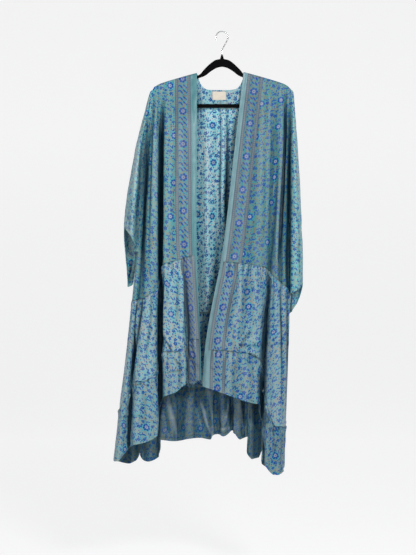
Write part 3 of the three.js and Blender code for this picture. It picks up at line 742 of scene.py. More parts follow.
@dataclass
class ClothSheet:
    """A sheet of cloth on a surface, with its creases, gathers and turned edges."""

    name: str
    surface: Surface
    us: Array
    vs: Array
    anchor: Anchor
    creases: tuple[Crease, ...] = ()
    gathers: FineGathers | None = None
    keep: Surface | None = None
    hem_turn: float = 0.0
    side_turn: float = 0.0
    wrinkle: float = 0.8
    seed: float = 0.0
    thickness: float = 0.7
    calm: float = 14.0
    facing: float = 1.0
    lap: float = 0.0
    flat: Point2 = field(init=False, default=(0.0, 0.0))
    flat_area: float = field(init=False, default=0.0)

    def build(self, materials: Sequence[Material]) -> Object:
        """Makes the sheet's mesh, in metres.

        Args:
            materials: The finish of the outside, and then the inside's copy with painted light and shade
                where there is one.

        Returns:
            The new object, a thin closed shell with the UV maps Print, Edges and Shade.
        """
        u, v = np.meshgrid(self.us, self.vs)
        points = self.surface(u, v)
        lift, shade = self._relief(points, run_of(points, 2), run_of(points, 1))
        points = points + self._outward(points) * lift
        across, below = run_of(points, 2), run_of(points, 1)
        print_across = self._print_across(across)
        print_down = below - points[2, 0][None, :]
        to_hem = below[-1][None, :] - below
        to_side = np.minimum(across, across[:, -1:] - across)
        cells = self._cells()
        self._note_cut(points, across, below, cells)
        outward = self._outward(points)
        # Painted shade from the creases, puckers and hollows of the folds, and painted highlight where it
        # is below 0, for the Shade map.
        shade = np.clip(shade + self._hollow(points, outward), *SHADE_RANGE) / MM
        grid = np.stack([*points, print_across, print_down, to_hem, to_side, shade, 0 * shade, *outward])
        if self.hem_turn:
            grid = self._turned(grid, self.hem_turn)
            cells = np.vstack([cells, np.repeat(cells[-1:], TURN_ROWS, axis=0)])
        if self.side_turn:
            first = self.anchor is Anchor.LAST
            grid = np.swapaxes(grid[:, :, ::-1] if first else grid, 1, 2)
            grid = np.swapaxes(self._turned(grid, self.side_turn), 1, 2)
            grid = grid[:, :, ::-1] if first else grid
            cells = np.pad(cells, ((0, 0), (TURN_ROWS, 0) if first else (0, TURN_ROWS)), mode="edge")
        return self._mesh(grid, cells, materials)

    def _note_cut(self, points: Array, across: Array, below: Array, cells: Array) -> None:
        """Keeps the size of the sheet's cut, turned edges included, in metres.

        Args:
            points: The sheet's points, in millimetres.
            across: Distance from its first side along each row.
            below: Distance from its top down each line.
            cells: Which cells of the grid are cloth.
        """
        a, b = np.diff(points, axis=2)[:, :-1, :], np.diff(points, axis=1)[:, :, :-1]
        area = (np.sqrt((np.cross(a, b, axis=0) ** 2).sum(axis=0)) * cells).sum()
        width = across[:, -1].max() + self.side_turn
        length = below[-1].max() + self.hem_turn
        area += self.hem_turn * across[-1, -1] + self.side_turn * below[-1].mean()
        self.flat = (round(width * MM, 3), round(length * MM, 3))
        self.flat_area = round(min(float(area) * MM * MM, self.flat[0] * self.flat[1]), 6)

    def _cells(self) -> Array:
        """Says which cells of the grid are cloth."""
        mu, mv = (self.us[1:] + self.us[:-1]) / 2, (self.vs[1:] + self.vs[:-1]) / 2
        gu, gv = np.meshgrid(mu, mv)
        return np.ones_like(gu, bool) if self.keep is None else self.keep(gu, gv)

    @staticmethod
    def _outward(points: Array) -> Array:
        """Unit vectors square to the grid, outward."""
        along = np.gradient(points, axis=2)
        down = np.gradient(points, axis=1)
        normal = np.cross(along, down, axis=0)
        return normal / np.maximum(np.sqrt((normal**2).sum(axis=0)), TINY)

    def _hollow(self, points: Array, outward: Array) -> Array:
        """Paints shade into the hollows of the folds on the side that is seen, and a little highlight on
        their crests.

        Args:
            points: The sheet's points, in millimetres.
            outward: Unit vectors square to it.

        Returns:
            Painted shade, more the deeper a point lies among its neighbours across the fall, and below 0
            for painted highlight on crests.
        """
        wide = np.pad(points, ((0, 0), (0, 0), (HOLLOW_REACH, HOLLOW_REACH)), mode="edge")
        count, window = points.shape[2], 2 * HOLLOW_REACH + 1
        around = sum(wide[:, :, k : k + count] for k in range(window)) / window
        height = ((points - around) * outward).sum(axis=0) * self.facing
        return np.clip(HOLLOW_SHADE * height, *HOLLOW_RANGE)

    def _relief(self, points: Array, across: Array, below: Array) -> tuple[Array, Array]:
        """Adds up the creases, gathers, small wrinkles and the lap.

        Args:
            points: The sheet's points, in millimetres.
            across: Distance from its first side along each row.
            below: Distance from its top down each line.

        Returns:
            How far each point moves outward, in millimetres, and its shade.
        """
        x, _, z = points
        to_side = np.minimum(across, across[:, -1:] - across)
        to_ends = np.minimum(below, below[-1][None, :] - below)
        still = smooth(to_side / self.calm) * smooth((to_ends + END_EASE) / self.calm)
        lift, shade = np.zeros(x.shape), np.zeros(x.shape)
        for crease in self.creases:
            pressed, dark = crease.press(x, z)
            lift += pressed
            shade += dark * self.facing
        mean = np.broadcast_to(across.mean(axis=0)[None, :], across.shape)
        broad = field_of_noise(mean / BROAD_PITCH, below / BROAD_FALL, self.seed)
        small = field_of_noise(mean / SMALL_PITCH, below / SMALL_FALL, self.seed + SMALL_SEED)
        lift += self.wrinkle * (BROAD_WRINKLE * broad + small)
        lift *= still
        if self.gathers is not None:
            lift += self.gathers.lift(mean, below) * smooth(to_side / GATHER_EASE)
            shade += self.gathers.shade(mean, below)
        if self.lap:
            from_edge = across if self.anchor is Anchor.FIRST else across[:, -1:] - across
            lift += LAP_LIFT * (1 - smooth((from_edge - self.lap) / LAP_EASE))
        return lift, shade

    def _print_across(self, across: Array) -> Array:
        """Where each point lies across the printed cloth, from the anchor line."""
        if self.anchor is Anchor.FIRST:
            return across - across[:, :1]
        if self.anchor is Anchor.LAST:
            return across[:, -1:] - across
        middle = across.shape[1] // 2
        return across - across[:, middle : middle + 1]

    @staticmethod
    def _turned(grid: Array, depth: float) -> Array:
        """Turns the edge of a grid.

        Args:
            grid: The grid's values, points first and outward vectors last.
            depth: How far the edge is turned back, in millimetres.

        Returns:
            The grid with rows added that go round its last row and back on its inside.
        """
        run = run_of(grid[:3], 1)
        columns = np.arange(run.shape[1])
        extra = []
        for back, inward in (TURN_EDGE, (depth / 2, TURN_INSIDE), (depth, TURN_END)):
            want = run[-1] - back
            index = np.clip((run <= want[None, :]).sum(axis=0) - 1, 0, run.shape[0] - 2)
            low, high = run[index, columns], run[index + 1, columns]
            t = np.clip((want - low) / np.maximum(high - low, TINY), 0, 1)
            row = grid[:, index, columns] * (1 - t) + grid[:, index + 1, columns] * t
            row[:3] -= row[-3:] * inward
            extra.append(row)
        return np.concatenate([grid, np.stack(extra, axis=1)], axis=1)

    def _mesh(self, grid: Array, cells: Array, materials: Sequence[Material]) -> Object:
        """Turns the grid into a shell with a wall and smooth shading.

        Args:
            grid: Points, UV places and outward vectors, in millimetres.
            cells: Which cells of the grid are cloth.
            materials: The finish of the outside, and then the inside's copy with painted light and shade
                where there is one.

        Returns:
            The new object.
        """
        count = grid.shape[2]
        index = np.arange(grid.shape[1] * count).reshape(grid.shape[1:])
        corner = (index[:-1, :-1], index[1:, :-1], index[1:, 1:], index[:-1, 1:])
        quads = np.stack(corner, axis=-1)[cells]
        used = np.unique(quads)
        place = np.full(index.size, -1)
        place[used] = np.arange(used.size)
        quads = place[quads]
        flat = grid.reshape(grid.shape[0], -1)[:, used] * MM
        mesh = bpy.data.meshes.new(self.name)
        mesh.from_pydata(flat[:3].T.tolist(), [], quads[:, ::-1].tolist())
        corners = np.empty(len(mesh.loops), int)
        mesh.loops.foreach_get("vertex_index", corners)
        for name, (a, b) in {"Print": (3, 4), "Edges": (5, 6), "Shade": (7, 8)}.items():
            layer = mesh.uv_layers.new(name=name)
            layer.data.foreach_set("uv", flat[[a, b]][:, corners].T.ravel())
        for material in materials:
            mesh.materials.append(material)
        # The turned hem shows its inside, so it takes the inside's copy with painted light and shade too.
        if self.hem_turn and len(materials) > 1:
            is_turn = np.nonzero(cells)[0] >= cells.shape[0] - TURN_ROWS
            mesh.polygons.foreach_set("material_index", is_turn.astype(np.int32))
        piece = add_object(self.name, mesh)
        finish_shell(piece, self.thickness * MM)
        return piece


def add_object(name: str, data: bpy.types.ID) -> Object:
    """Places new data in the scene as an object."""
    made = bpy.data.objects.new(name, data)
    bpy.context.scene.collection.objects.link(made)
    return made


def select_only(piece: Object) -> None:
    """Selects one object and nothing else."""
    bpy.ops.object.select_all(action="DESELECT")
    bpy.context.view_layer.objects.active = piece
    piece.select_set(True)


def finish_shell(piece: Object, thickness: float) -> None:
    """Gives a sheet its wall on both sides of its surface, and smooth shading.

    Args:
        piece: The sheet, one layer of faces that point outward.
        thickness: The wall's thickness in metres.
    """
    select_only(piece)
    wall = piece.modifiers.new("wall", "SOLIDIFY")
    wall.thickness = thickness
    wall.offset = 0.0
    # The inner side takes the last finish: the inside's copy with painted light and shade where there is
    # one.
    wall.material_offset = len(piece.data.materials) - 1
    bpy.ops.object.modifier_apply(modifier=wall.name)
    bpy.ops.object.shade_smooth_by_angle(angle=WALL_ANGLE)
    piece.select_set(False)


# ---- Shader groups: flower print, border print, woven satin and stitches ----

Socket = bpy.types.NodeSocket
Value = Socket | float
Sockets = dict[str, Socket]
Three = tuple[Socket, Socket, Socket]
COLOUR_MIX_INPUTS, COLOUR_MIX_OUTPUT = (0, 6, 7), 2


def srgb(red: int, green: int, blue: int) -> Four:
    """Linear colour with alpha, from screen values of 0 to 255."""

    def linear(c: float) -> float:
        """One part of the colour, from 0 to 1."""
        return c / 12.92 if c <= 0.04045 else ((c + 0.055) / 1.055) ** 2.4

    return (linear(red / 255), linear(green / 255), linear(blue / 255), 1.0)


class Graph:
    """Places and joins the nodes of one shader tree."""

    def __init__(self, tree: NodeTree) -> None:
        """Starts on an empty tree."""
        self.tree = tree

    def node(self, kind: str, **settings: object) -> Node:
        """Adds a node and sets its properties."""
        node = self.tree.nodes.new(kind)
        for key, value in settings.items():
            setattr(node, key, value)
        return node

    def feed(self, socket: Socket, value: object) -> None:
        """Links a socket into another one, or sets its value."""
        if isinstance(value, bpy.types.NodeSocket):
            self.tree.links.new(value, socket)
        else:
            socket.default_value = value

    def math(self, operation: str, a: Value, b: Value = 0.0, c: Value = 0.0, clamp: bool = False) -> Socket:
        """Adds a Math node and returns its result."""
        node = self.node("ShaderNodeMath", operation=operation, use_clamp=clamp)
        for socket, value in zip(node.inputs, (a, b, c)):
            self.feed(socket, value)
        return node.outputs[0]

    def add(self, a: Value, b: Value) -> Socket:
        """Sum of two values."""
        return self.math("ADD", a, b)

    def sub(self, a: Value, b: Value) -> Socket:
        """Difference of two values."""
        return self.math("SUBTRACT", a, b)

    def mul(self, a: Value, b: Value) -> Socket:
        """Product of two values."""
        return self.math("MULTIPLY", a, b)

    def scale(self, a: Value, by: Value, plus: Value, clamp: bool = False) -> Socket:
        """A value times another one, plus a third."""
        return self.math("MULTIPLY_ADD", a, by, plus, clamp)

    def abs(self, a: Value) -> Socket:
        """A value without its sign."""
        return self.math("ABSOLUTE", a)

    def inside(self, distance: Value, soft: float = 0.5) -> Socket:
        """1 where distance is above 0 and 0 below it, eased over soft."""
        return self.scale(distance, 1 / soft, 0.5, clamp=True)

    def either(self, *masks: Value) -> Socket:
        """Greatest of several masks."""
        result = masks[0]
        for mask in masks[1:]:
            result = self.math("MAXIMUM", result, mask)
        return result

    def outside(self, mask: Value) -> Socket:
        """1 minus a mask."""
        return self.sub(1.0, mask)

    def split(self, vector: Socket) -> Three:
        """The three parts of a vector or colour."""
        node = self.node("ShaderNodeSeparateXYZ")
        self.feed(node.inputs[0], vector)
        return tuple(node.outputs)

    def join(self, x: Value, y: Value, z: Value = 0.0) -> Socket:
        """A vector from its parts."""
        node = self.node("ShaderNodeCombineXYZ")
        for socket, value in zip(node.inputs, (x, y, z)):
            self.feed(socket, value)
        return node.outputs[0]

    def blend(self, factor: Value, a: object, b: object) -> Socket:
        """Goes from colour a to colour b by factor."""
        node = self.node("ShaderNodeMix", data_type="RGBA")
        for index, value in zip(COLOUR_MIX_INPUTS, (factor, a, b)):
            self.feed(node.inputs[index], value)
        return node.outputs[COLOUR_MIX_OUTPUT]

    def noise(self, place: Socket, scale: float, detail: float = 2.0, rough: float = 0.5) -> Socket:
        """Noise from 0 to 1 at a place, with features of about 1/scale."""
        node = self.node("ShaderNodeTexNoise")
        self.feed(node.inputs["Vector"], place)
        for key, value in {"Scale": scale, "Detail": detail, "Roughness": rough}.items():
            node.inputs[key].default_value = value
        return node.outputs[0]

    def group(self, tree: NodeTree, **inputs: object) -> Node:
        """Places a node group with its own values."""
        node = self.node("ShaderNodeGroup", node_tree=tree)
        for key, value in inputs.items():
            self.feed(node.inputs[key.replace("_", " ")], value)
        return node


@dataclass(frozen=True)
class GroupSocket:
    """Name, kind and value of one socket of a shader group."""

    name: str
    kind: str = "NodeSocketFloat"
    value: object = None


def new_group(
    name: str, takes: Sequence[GroupSocket], gives: Sequence[GroupSocket]
) -> tuple[Graph, Sockets, Sockets]:
    """Makes an empty shader group.

    Args:
        name: The group's name.
        takes: Its inputs.
        gives: Its outputs.

    Returns:
        The graph inside, its input sockets by name, and the sockets to feed for its outputs by name.
    """
    tree = bpy.data.node_groups.new(name, "ShaderNodeTree")
    for direction, sockets in (("INPUT", takes), ("OUTPUT", gives)):
        for wanted in sockets:
            made = tree.interface.new_socket(wanted.name, in_out=direction, socket_type=wanted.kind)
            if wanted.value is not None:
                made.default_value = wanted.value
    graph = Graph(tree)
    entry, end = graph.node("NodeGroupInput"), graph.node("NodeGroupOutput")
    return graph, {s.name: s for s in entry.outputs if s.name}, {s.name: s for s in end.inputs if s.name}


VECTOR, COLOUR = "NodeSocketVector", "NodeSocketColor"


@dataclass(frozen=True)
class CellPrint:
    """Motifs that repeat in scattered cells: their pitch in millimetres and how loosely they are set."""

    pitch_x: float
    pitch_y: float
    loose: float

    def cells(self, g: Graph, x: Value, y: Value) -> tuple[Socket, Socket, Three]:
        """Finds the nearest motif.

        Args:
            g: The graph to build in.
            x: Place across the cloth, in millimetres.
            y: Place along the cloth, in millimetres.

        Returns:
            The place from its middle, in millimetres, and three random values for it.
        """
        node = g.node("ShaderNodeTexVoronoi", voronoi_dimensions="2D", feature="F1")
        node.inputs["Scale"].default_value = 1.0
        node.inputs["Randomness"].default_value = self.loose
        place = g.join(g.mul(x, 1 / self.pitch_x), g.mul(y, 1 / self.pitch_y))
        g.feed(node.inputs["Vector"], place)
        px, py, _ = g.split(place)
        cx, cy, _ = g.split(node.outputs["Position"])
        dx, dy = g.mul(g.sub(px, cx), self.pitch_x), g.mul(g.sub(py, cy), self.pitch_y)
        return dx, dy, g.split(node.outputs["Color"])


def polar(g: Graph, x: Value, y: Value) -> tuple[Socket, Socket]:
    """Distance from the middle and angle round it."""
    radius = g.math("SQRT", g.add(g.mul(x, x), g.mul(y, y)))
    return radius, g.math("ARCTAN2", y, x)


def ring_flower(g: Graph, x: Value, y: Value, radius: float, petals: int) -> tuple[Socket, Socket]:
    """A flower with a ring of round petals about a pale heart.

    Args:
        g: The graph to build in.
        x: Place across from the flower's middle, in millimetres.
        y: Place along from the flower's middle, in millimetres.
        radius: Radius to the petals' tips.
        petals: Number of petals.

    Returns:
        Masks of the blue petals and of the pale heart.
    """
    r, angle = polar(g, x, y)
    lobe = g.abs(g.math("COSINE", g.mul(angle, petals / 2)))
    tip = g.scale(lobe, 0.2 * radius, 0.8 * radius)
    petal = g.mul(g.inside(g.sub(tip, r)), g.inside(g.sub(r, 0.52 * radius)))
    petal = g.mul(petal, g.inside(g.sub(g.mul(lobe, r), 0.14 * radius), 0.8))
    rim = g.inside(g.sub(0.055 * radius, g.abs(g.sub(r, 0.5 * radius))), 0.4)
    eye = g.inside(g.sub(0.13 * radius, r), 0.4)
    heart = g.inside(g.sub(0.45 * radius, r))
    return g.either(petal, rim, eye), heart


def specks(g: Graph, x: Value, y: Value, layout: CellPrint) -> Socket:
    """Mask of pale round specks of uneven size."""
    dx, dy, chance = layout.cells(g, x, y)
    grain, _ = polar(g, dx, dy)
    return g.inside(g.sub(g.scale(chance[0], 1.5, 1.6), grain), 1.0)


def leaf(g: Graph, x: Value, y: Value, angle: Value, length: float, width: float) -> Socket:
    """Mask of a pointed leaf about the middle, turned by angle."""
    c, s = g.math("COSINE", angle), g.math("SINE", angle)
    along = g.abs(g.add(g.mul(x, c), g.mul(y, s)))
    across = g.abs(g.sub(g.mul(y, c), g.mul(x, s)))
    room = g.sub(width / 2, g.scale(g.mul(along, along), 2 * width / length**2, across))
    return g.inside(room, 0.6)


PRINT_SCALE = 0.8
RING_RADIUS, PETALS, RING_CLEAR = 14.5, 7, 17.0
FLOWER_CELLS, BLOSSOM_CELLS = CellPrint(80.0, 102.0, 0.62), CellPrint(21.0, 23.0, 0.8)
DOT_CELLS, MOTTLE_CELLS = CellPrint(9.5, 10.5, 0.9), CellPrint(6.4, 5.8, 1.0)
FLOWER_SHARE, BLOSSOM_SHARE, DOT_SHARE = 0.5, 0.6, 0.72
BLOSSOM_CLEAR = 7.2
TURN = 6.28


def build_flower_print() -> NodeTree:
    """Scattered ring flowers, small blossoms, leaves and dots on a ground with pale mottling."""
    g, takes, gives = new_group(
        "flower print",
        [
            GroupSocket("Place", VECTOR),
            *(GroupSocket(name, COLOUR) for name in ("Ground", "Mottle", "Flower", "Heart")),
        ],
        [GroupSocket("Colour", COLOUR), GroupSocket("Ink")],
    )
    x, y, _ = g.split(takes["Place"])
    x, y = g.mul(x, TO_MM / PRINT_SCALE), g.mul(y, TO_MM / PRINT_SCALE)
    place = g.join(x, y)
    wander = g.scale(g.noise(place, 0.07, 1.0), 9.0, -4.5)
    wx, wy = g.add(x, wander), g.sub(y, wander)
    fx, fy, chance = FLOWER_CELLS.cells(g, x, y)
    present = g.math("LESS_THAN", chance[0], FLOWER_SHARE)
    big_radius, _ = polar(g, fx, fy)
    ring, heart = ring_flower(g, fx, fy, RING_RADIUS, PETALS)
    ring, heart = g.mul(ring, present), g.mul(heart, present)
    free = g.outside(g.mul(present, g.inside(g.sub(RING_CLEAR, big_radius))))
    bx, by, pick = BLOSSOM_CELLS.cells(g, wx, wy)
    r, angle = polar(g, bx, by)
    turned = g.scale(pick[2], TURN, angle)
    lobe = g.abs(g.math("COSINE", g.mul(turned, 2.5)))
    size = g.scale(pick[0], 2.6, 5.4)
    blossom = g.inside(g.sub(g.mul(size, g.scale(lobe, 0.5, 0.55)), r))
    blossom = g.mul(blossom, g.inside(g.sub(r, 1.3), 0.7))
    is_blossom = g.math("LESS_THAN", pick[1], BLOSSOM_SHARE)
    spin = g.mul(pick[2], TURN)
    twin = leaf(g, g.add(bx, 2.6), by, spin, 15.0, 4.6)
    twin = g.either(twin, leaf(g, g.sub(bx, 3.8), g.add(by, 3.2), g.add(spin, 0.7), 12.0, 4.0))
    motif = g.mul(g.either(g.mul(blossom, is_blossom), g.mul(twin, g.outside(is_blossom))), free)
    near = g.inside(g.sub(BLOSSOM_CLEAR, r), 1.5)
    dx, dy, dot = DOT_CELLS.cells(g, wy, wx)
    dot_radius, dot_angle = polar(g, dx, dy)
    long_dot = g.scale(g.abs(g.math("COSINE", dot_angle)), 0.9, 1.2)
    dot_mask = g.inside(g.sub(g.add(dot[0], long_dot), dot_radius), 0.7)
    speck = g.mul(dot_mask, g.outside(near))
    speck = g.mul(g.mul(speck, g.math("LESS_THAN", dot[1], DOT_SHARE)), free)
    ink = g.either(ring, motif, speck)
    clear = g.outside(g.either(g.mul(near, 0.55), g.outside(free)))
    worm = g.noise(place, 0.17, 1.0)
    spot = specks(g, g.add(x, g.mul(wander, 0.4)), y, MOTTLE_CELLS)
    mottle = g.mul(g.either(spot, g.inside(g.sub(worm, 0.56), 0.04)), clear)
    thin = g.noise(place, 0.012, 2.0)
    mottle = g.mul(mottle, g.scale(thin, 1.3, 0.25, clamp=True))
    colour = g.blend(mottle, takes["Ground"], takes["Mottle"])
    colour = g.blend(g.mul(heart, 0.85), colour, takes["Heart"])
    fade = g.scale(g.noise(place, 0.05, 2.0), 0.35, 0.82, clamp=True)
    g.feed(gives["Colour"], g.blend(g.mul(ink, fade), colour, takes["Flower"]))
    g.feed(gives["Ink"], ink)
    return g.tree


@dataclass(frozen=True)
class BorderLayout:
    """Widths across the printed border, in millimetres from the band's seam."""

    inner_stripe: Point2 = (0.0, 10.5)
    outer_stripe: Point2 = (40.5, 50.5)
    flower_line: float = 25.5
    repeat: float = 105.0
    dot_pitch: float = 6.0
    leaf_pitch: float = 16.5
    half_field: float = 14.5
    flower_radius: float = 13.0
    flower_room: float = 18.0
    specks: CellPrint = CellPrint(6.2, 5.6, 1.0)

    def build(self) -> NodeTree:
        """Makes the shader group that lays the border over the flower print.

        Returns:
            The group's tree.
        """
        g, takes, gives = new_group(
            "border print",
            [
                GroupSocket("Place", VECTOR),
                GroupSocket("Phase"),
                GroupSocket("Lean"),
                *(GroupSocket(name, COLOUR) for name in ("Under", "Sky", "Ground", "Flower")),
                GroupSocket("Stripe", COLOUR, srgb(88, 104, 118)),
                GroupSocket("Dots", COLOUR, srgb(118, 128, 132)),
                GroupSocket("Heart", COLOUR, srgb(132, 140, 154)),
            ],
            [GroupSocket("Colour", COLOUR)],
        )
        x, y, _ = g.split(takes["Place"])
        x, y = g.mul(x, TO_MM), g.mul(y, TO_MM)
        stripes, dots, lines = 0.0, 0.0, 0.0
        for start, end in (self.inner_stripe, self.outer_stripe):
            off = g.abs(g.sub(x, (start + end) / 2))
            stripes = g.either(stripes, g.inside(g.sub((end - start) / 2, off), 0.8))
            lines = g.either(lines, g.inside(g.sub(0.55, g.abs(g.sub(off, (end - start) / 2 - 1.4)))))
            step = g.sub(g.math("WRAP", y, self.dot_pitch, 0.0), self.dot_pitch / 2)
            bead, _ = polar(g, g.mul(off, 0.8), step)
            ring_bead = g.mul(g.inside(g.sub(2.3, bead), 0.7), g.inside(g.sub(bead, 0.6), 0.5))
            dots = g.either(dots, ring_bead)
        fy = g.math("WRAP", g.sub(y, takes["Phase"]), self.repeat / 2, -self.repeat / 2)
        fx = g.sub(x, self.flower_line)
        ring, heart = ring_flower(g, fx, fy, self.flower_radius, PETALS)
        away = g.inside(g.sub(g.abs(fy), self.flower_room))
        cell = g.sub(g.math("WRAP", fy, self.leaf_pitch, 0.0), self.leaf_pitch / 2)
        sprig = g.either(
            leaf(g, g.sub(fx, 4.6), cell, g.mul(takes["Lean"], 0.95), 17.0, 5.4),
            leaf(g, g.add(fx, 5.2), g.add(cell, 3.0), g.mul(takes["Lean"], 0.8), 15.0, 4.6),
            leaf(g, g.add(fx, 11.5), g.sub(cell, 3.5), g.mul(takes["Lean"], 1.9), 8.0, 3.6),
            leaf(g, g.sub(fx, 12.0), g.add(cell, 3.5), g.mul(takes["Lean"], 2.1), 8.0, 3.6),
        )
        middle = g.inside(g.sub(self.half_field, g.abs(fx)))
        ink = g.mul(g.either(ring, g.mul(sprig, away)), middle)
        field_mask = g.inside(g.sub(self.outer_stripe[1], x), 0.8)
        ground = g.blend(specks(g, x, y, self.specks), takes["Sky"], takes["Ground"])
        colour = g.blend(g.mul(field_mask, middle), takes["Under"], ground)
        colour = g.blend(g.mul(g.mul(heart, middle), field_mask), colour, takes["Heart"])
        colour = g.blend(stripes, colour, takes["Stripe"])
        colour = g.blend(g.mul(stripes, dots), colour, takes["Dots"])
        colour = g.blend(g.mul(g.mul(stripes, lines), 0.2), colour, srgb(64, 84, 130))
        g.feed(gives["Colour"], g.blend(g.mul(g.mul(ink, field_mask), 0.96), colour, takes["Flower"]))
        return g.tree


WARP_PITCH, WEFT_PITCH = 0.0007, 0.0009


def build_satin() -> NodeTree:
    """Height and tone of a soft satin weave: yarns, slubs and a light crinkle down the fall."""
    g, takes, gives = new_group(
        "satin weave",
        [GroupSocket("Place", VECTOR), GroupSocket("Crinkle")],
        [GroupSocket("Height"), GroupSocket("Tone")],
    )
    x, y, _ = g.split(takes["Place"])
    warp = g.math("SINE", g.mul(x, 2 * math.pi / WARP_PITCH))
    weft = g.math("SINE", g.mul(y, 2 * math.pi / WEFT_PITCH))
    yarn = g.mul(g.mul(warp, weft), 0.06)
    long_way = g.noise(g.join(x, g.mul(y, 0.28)), 190.0, 2.0)
    slub = g.noise(g.join(g.mul(x, 0.2), y), 620.0, 1.0)
    patch = g.noise(g.join(x, y), 26.0, 3.0, 0.6)
    height = g.add(g.mul(long_way, takes["Crinkle"]), g.mul(g.mul(patch, takes["Crinkle"]), 2.2))
    g.feed(gives["Height"], g.add(g.add(height, g.mul(slub, 0.12)), yarn))
    tone = g.add(g.scale(slub, 0.1, 0.9), g.scale(patch, 0.22, -0.09))
    g.feed(gives["Tone"], tone)
    return g.tree


STITCH_LENGTH, STITCH_COVER = 2.8, 0.78


def build_stitches() -> NodeTree:
    """A line of lockstitch at a distance from an edge: thread mask and height."""
    g, takes, gives = new_group(
        "stitch line",
        [
            GroupSocket("Along"),
            GroupSocket("From edge"),
            GroupSocket("Distance", value=0.008),
        ],
        [GroupSocket("Thread"), GroupSocket("Height")],
    )
    off = g.mul(g.abs(g.sub(takes["From edge"], takes["Distance"])), TO_MM)
    step = g.sub(g.math("WRAP", g.mul(takes["Along"], TO_MM), STITCH_LENGTH, 0.0), STITCH_LENGTH / 2)
    run = g.inside(g.sub(STITCH_LENGTH / 2 * STITCH_COVER, g.abs(step)), 0.3)
    thread = g.mul(g.inside(g.sub(0.28, off), 0.25), run)
    groove = g.inside(g.sub(0.75, off), 0.8)
    g.feed(gives["Thread"], thread)
    g.feed(gives["Height"], g.sub(g.mul(thread, 0.6), groove))
    return g.tree


@dataclass
class Groups:
    """The shader groups that the finishes share."""

    flower_print: NodeTree = field(default_factory=build_flower_print)
    border: NodeTree = field(default_factory=lambda: BorderLayout().build())
    satin: NodeTree = field(default_factory=build_satin)
    stitches: NodeTree = field(default_factory=build_stitches)


# ---- Finishes ----


@dataclass(frozen=True)
class Shine:
    """How a surface takes the light, set on the shader's own sockets."""

    roughness: float
    sheen: float = 0.0
    sheen_roughness: float = 0.4
    metallic: float = 0.0
    specular: float = 0.5


def new_surface(name: str, shine: Shine) -> tuple[Material, Graph, Node]:
    """Makes a material with its shader.

    Args:
        name: The material's name.
        shine: Values for the shader's own sockets.

    Returns:
        The material, its graph and its Principled shader.
    """
    material = bpy.data.materials.new(name)
    material.use_nodes = True
    material.node_tree.nodes.clear()
    graph = Graph(material.node_tree)
    shader, output = graph.node("ShaderNodeBsdfPrincipled"), graph.node("ShaderNodeOutputMaterial")
    graph.feed(output.inputs["Surface"], shader.outputs[0])
    for socket, value in (
        ("Roughness", shine.roughness),
        ("Metallic", shine.metallic),
        ("Specular IOR Level", shine.specular),
        ("Sheen Weight", shine.sheen),
        ("Sheen Roughness", shine.sheen_roughness),
    ):
        shader.inputs[socket].default_value = value
    return material, graph, shader


def bump(graph: Graph, shader: Node, height: Socket, depth: float, strength: float) -> None:
    """Feeds a height into the shader's normal, in metres of depth."""
    node = graph.node("ShaderNodeBump")
    node.inputs["Strength"].default_value = strength
    node.inputs["Distance"].default_value = depth
    graph.feed(node.inputs["Height"], height)
    graph.feed(shader.inputs["Normal"], node.outputs[0])


def uv_place(graph: Graph, name: str) -> Socket:
    """The place on the piece's own UV map."""
    return graph.node("ShaderNodeUVMap", uv_map=name).outputs[0]


def object_place(graph: Graph) -> Socket:
    """The place in the piece's own coordinates."""
    return graph.node("ShaderNodeTexCoord").outputs["Object"]


def toned(graph: Graph, colour: Socket, tone: Socket) -> Socket:
    """Makes a colour lighter or darker by the weave's tone."""
    node = graph.node("ShaderNodeHueSaturation")
    graph.feed(node.inputs["Value"], tone)
    graph.feed(node.inputs["Color"], colour)
    return node.outputs[0]


def shaded(graph: Graph, colour: Socket) -> Socket:
    """Paints shade into a colour in the piece's creases and hollows, and a painted highlight on its ridges,
    by its Shade map.
    """
    shade, _, _ = graph.split(uv_place(graph, "Shade"))
    deep = graph.scale(shade, 1.0, 0.0, clamp=True)
    lit = graph.scale(shade, -1.0, 0.0, clamp=True)
    # The painted shade colour, a dark blue, and the painted highlight colour, a pale grey.
    colour = graph.blend(deep, colour, srgb(18, 46, 64))
    return graph.blend(lit, colour, srgb(214, 224, 224))


@dataclass(frozen=True)
class Border:
    """The printed border beside a band: its flowers' start, its colours and its leaves' lean."""

    phase: float
    ground: Four
    sky: Four
    lean: float


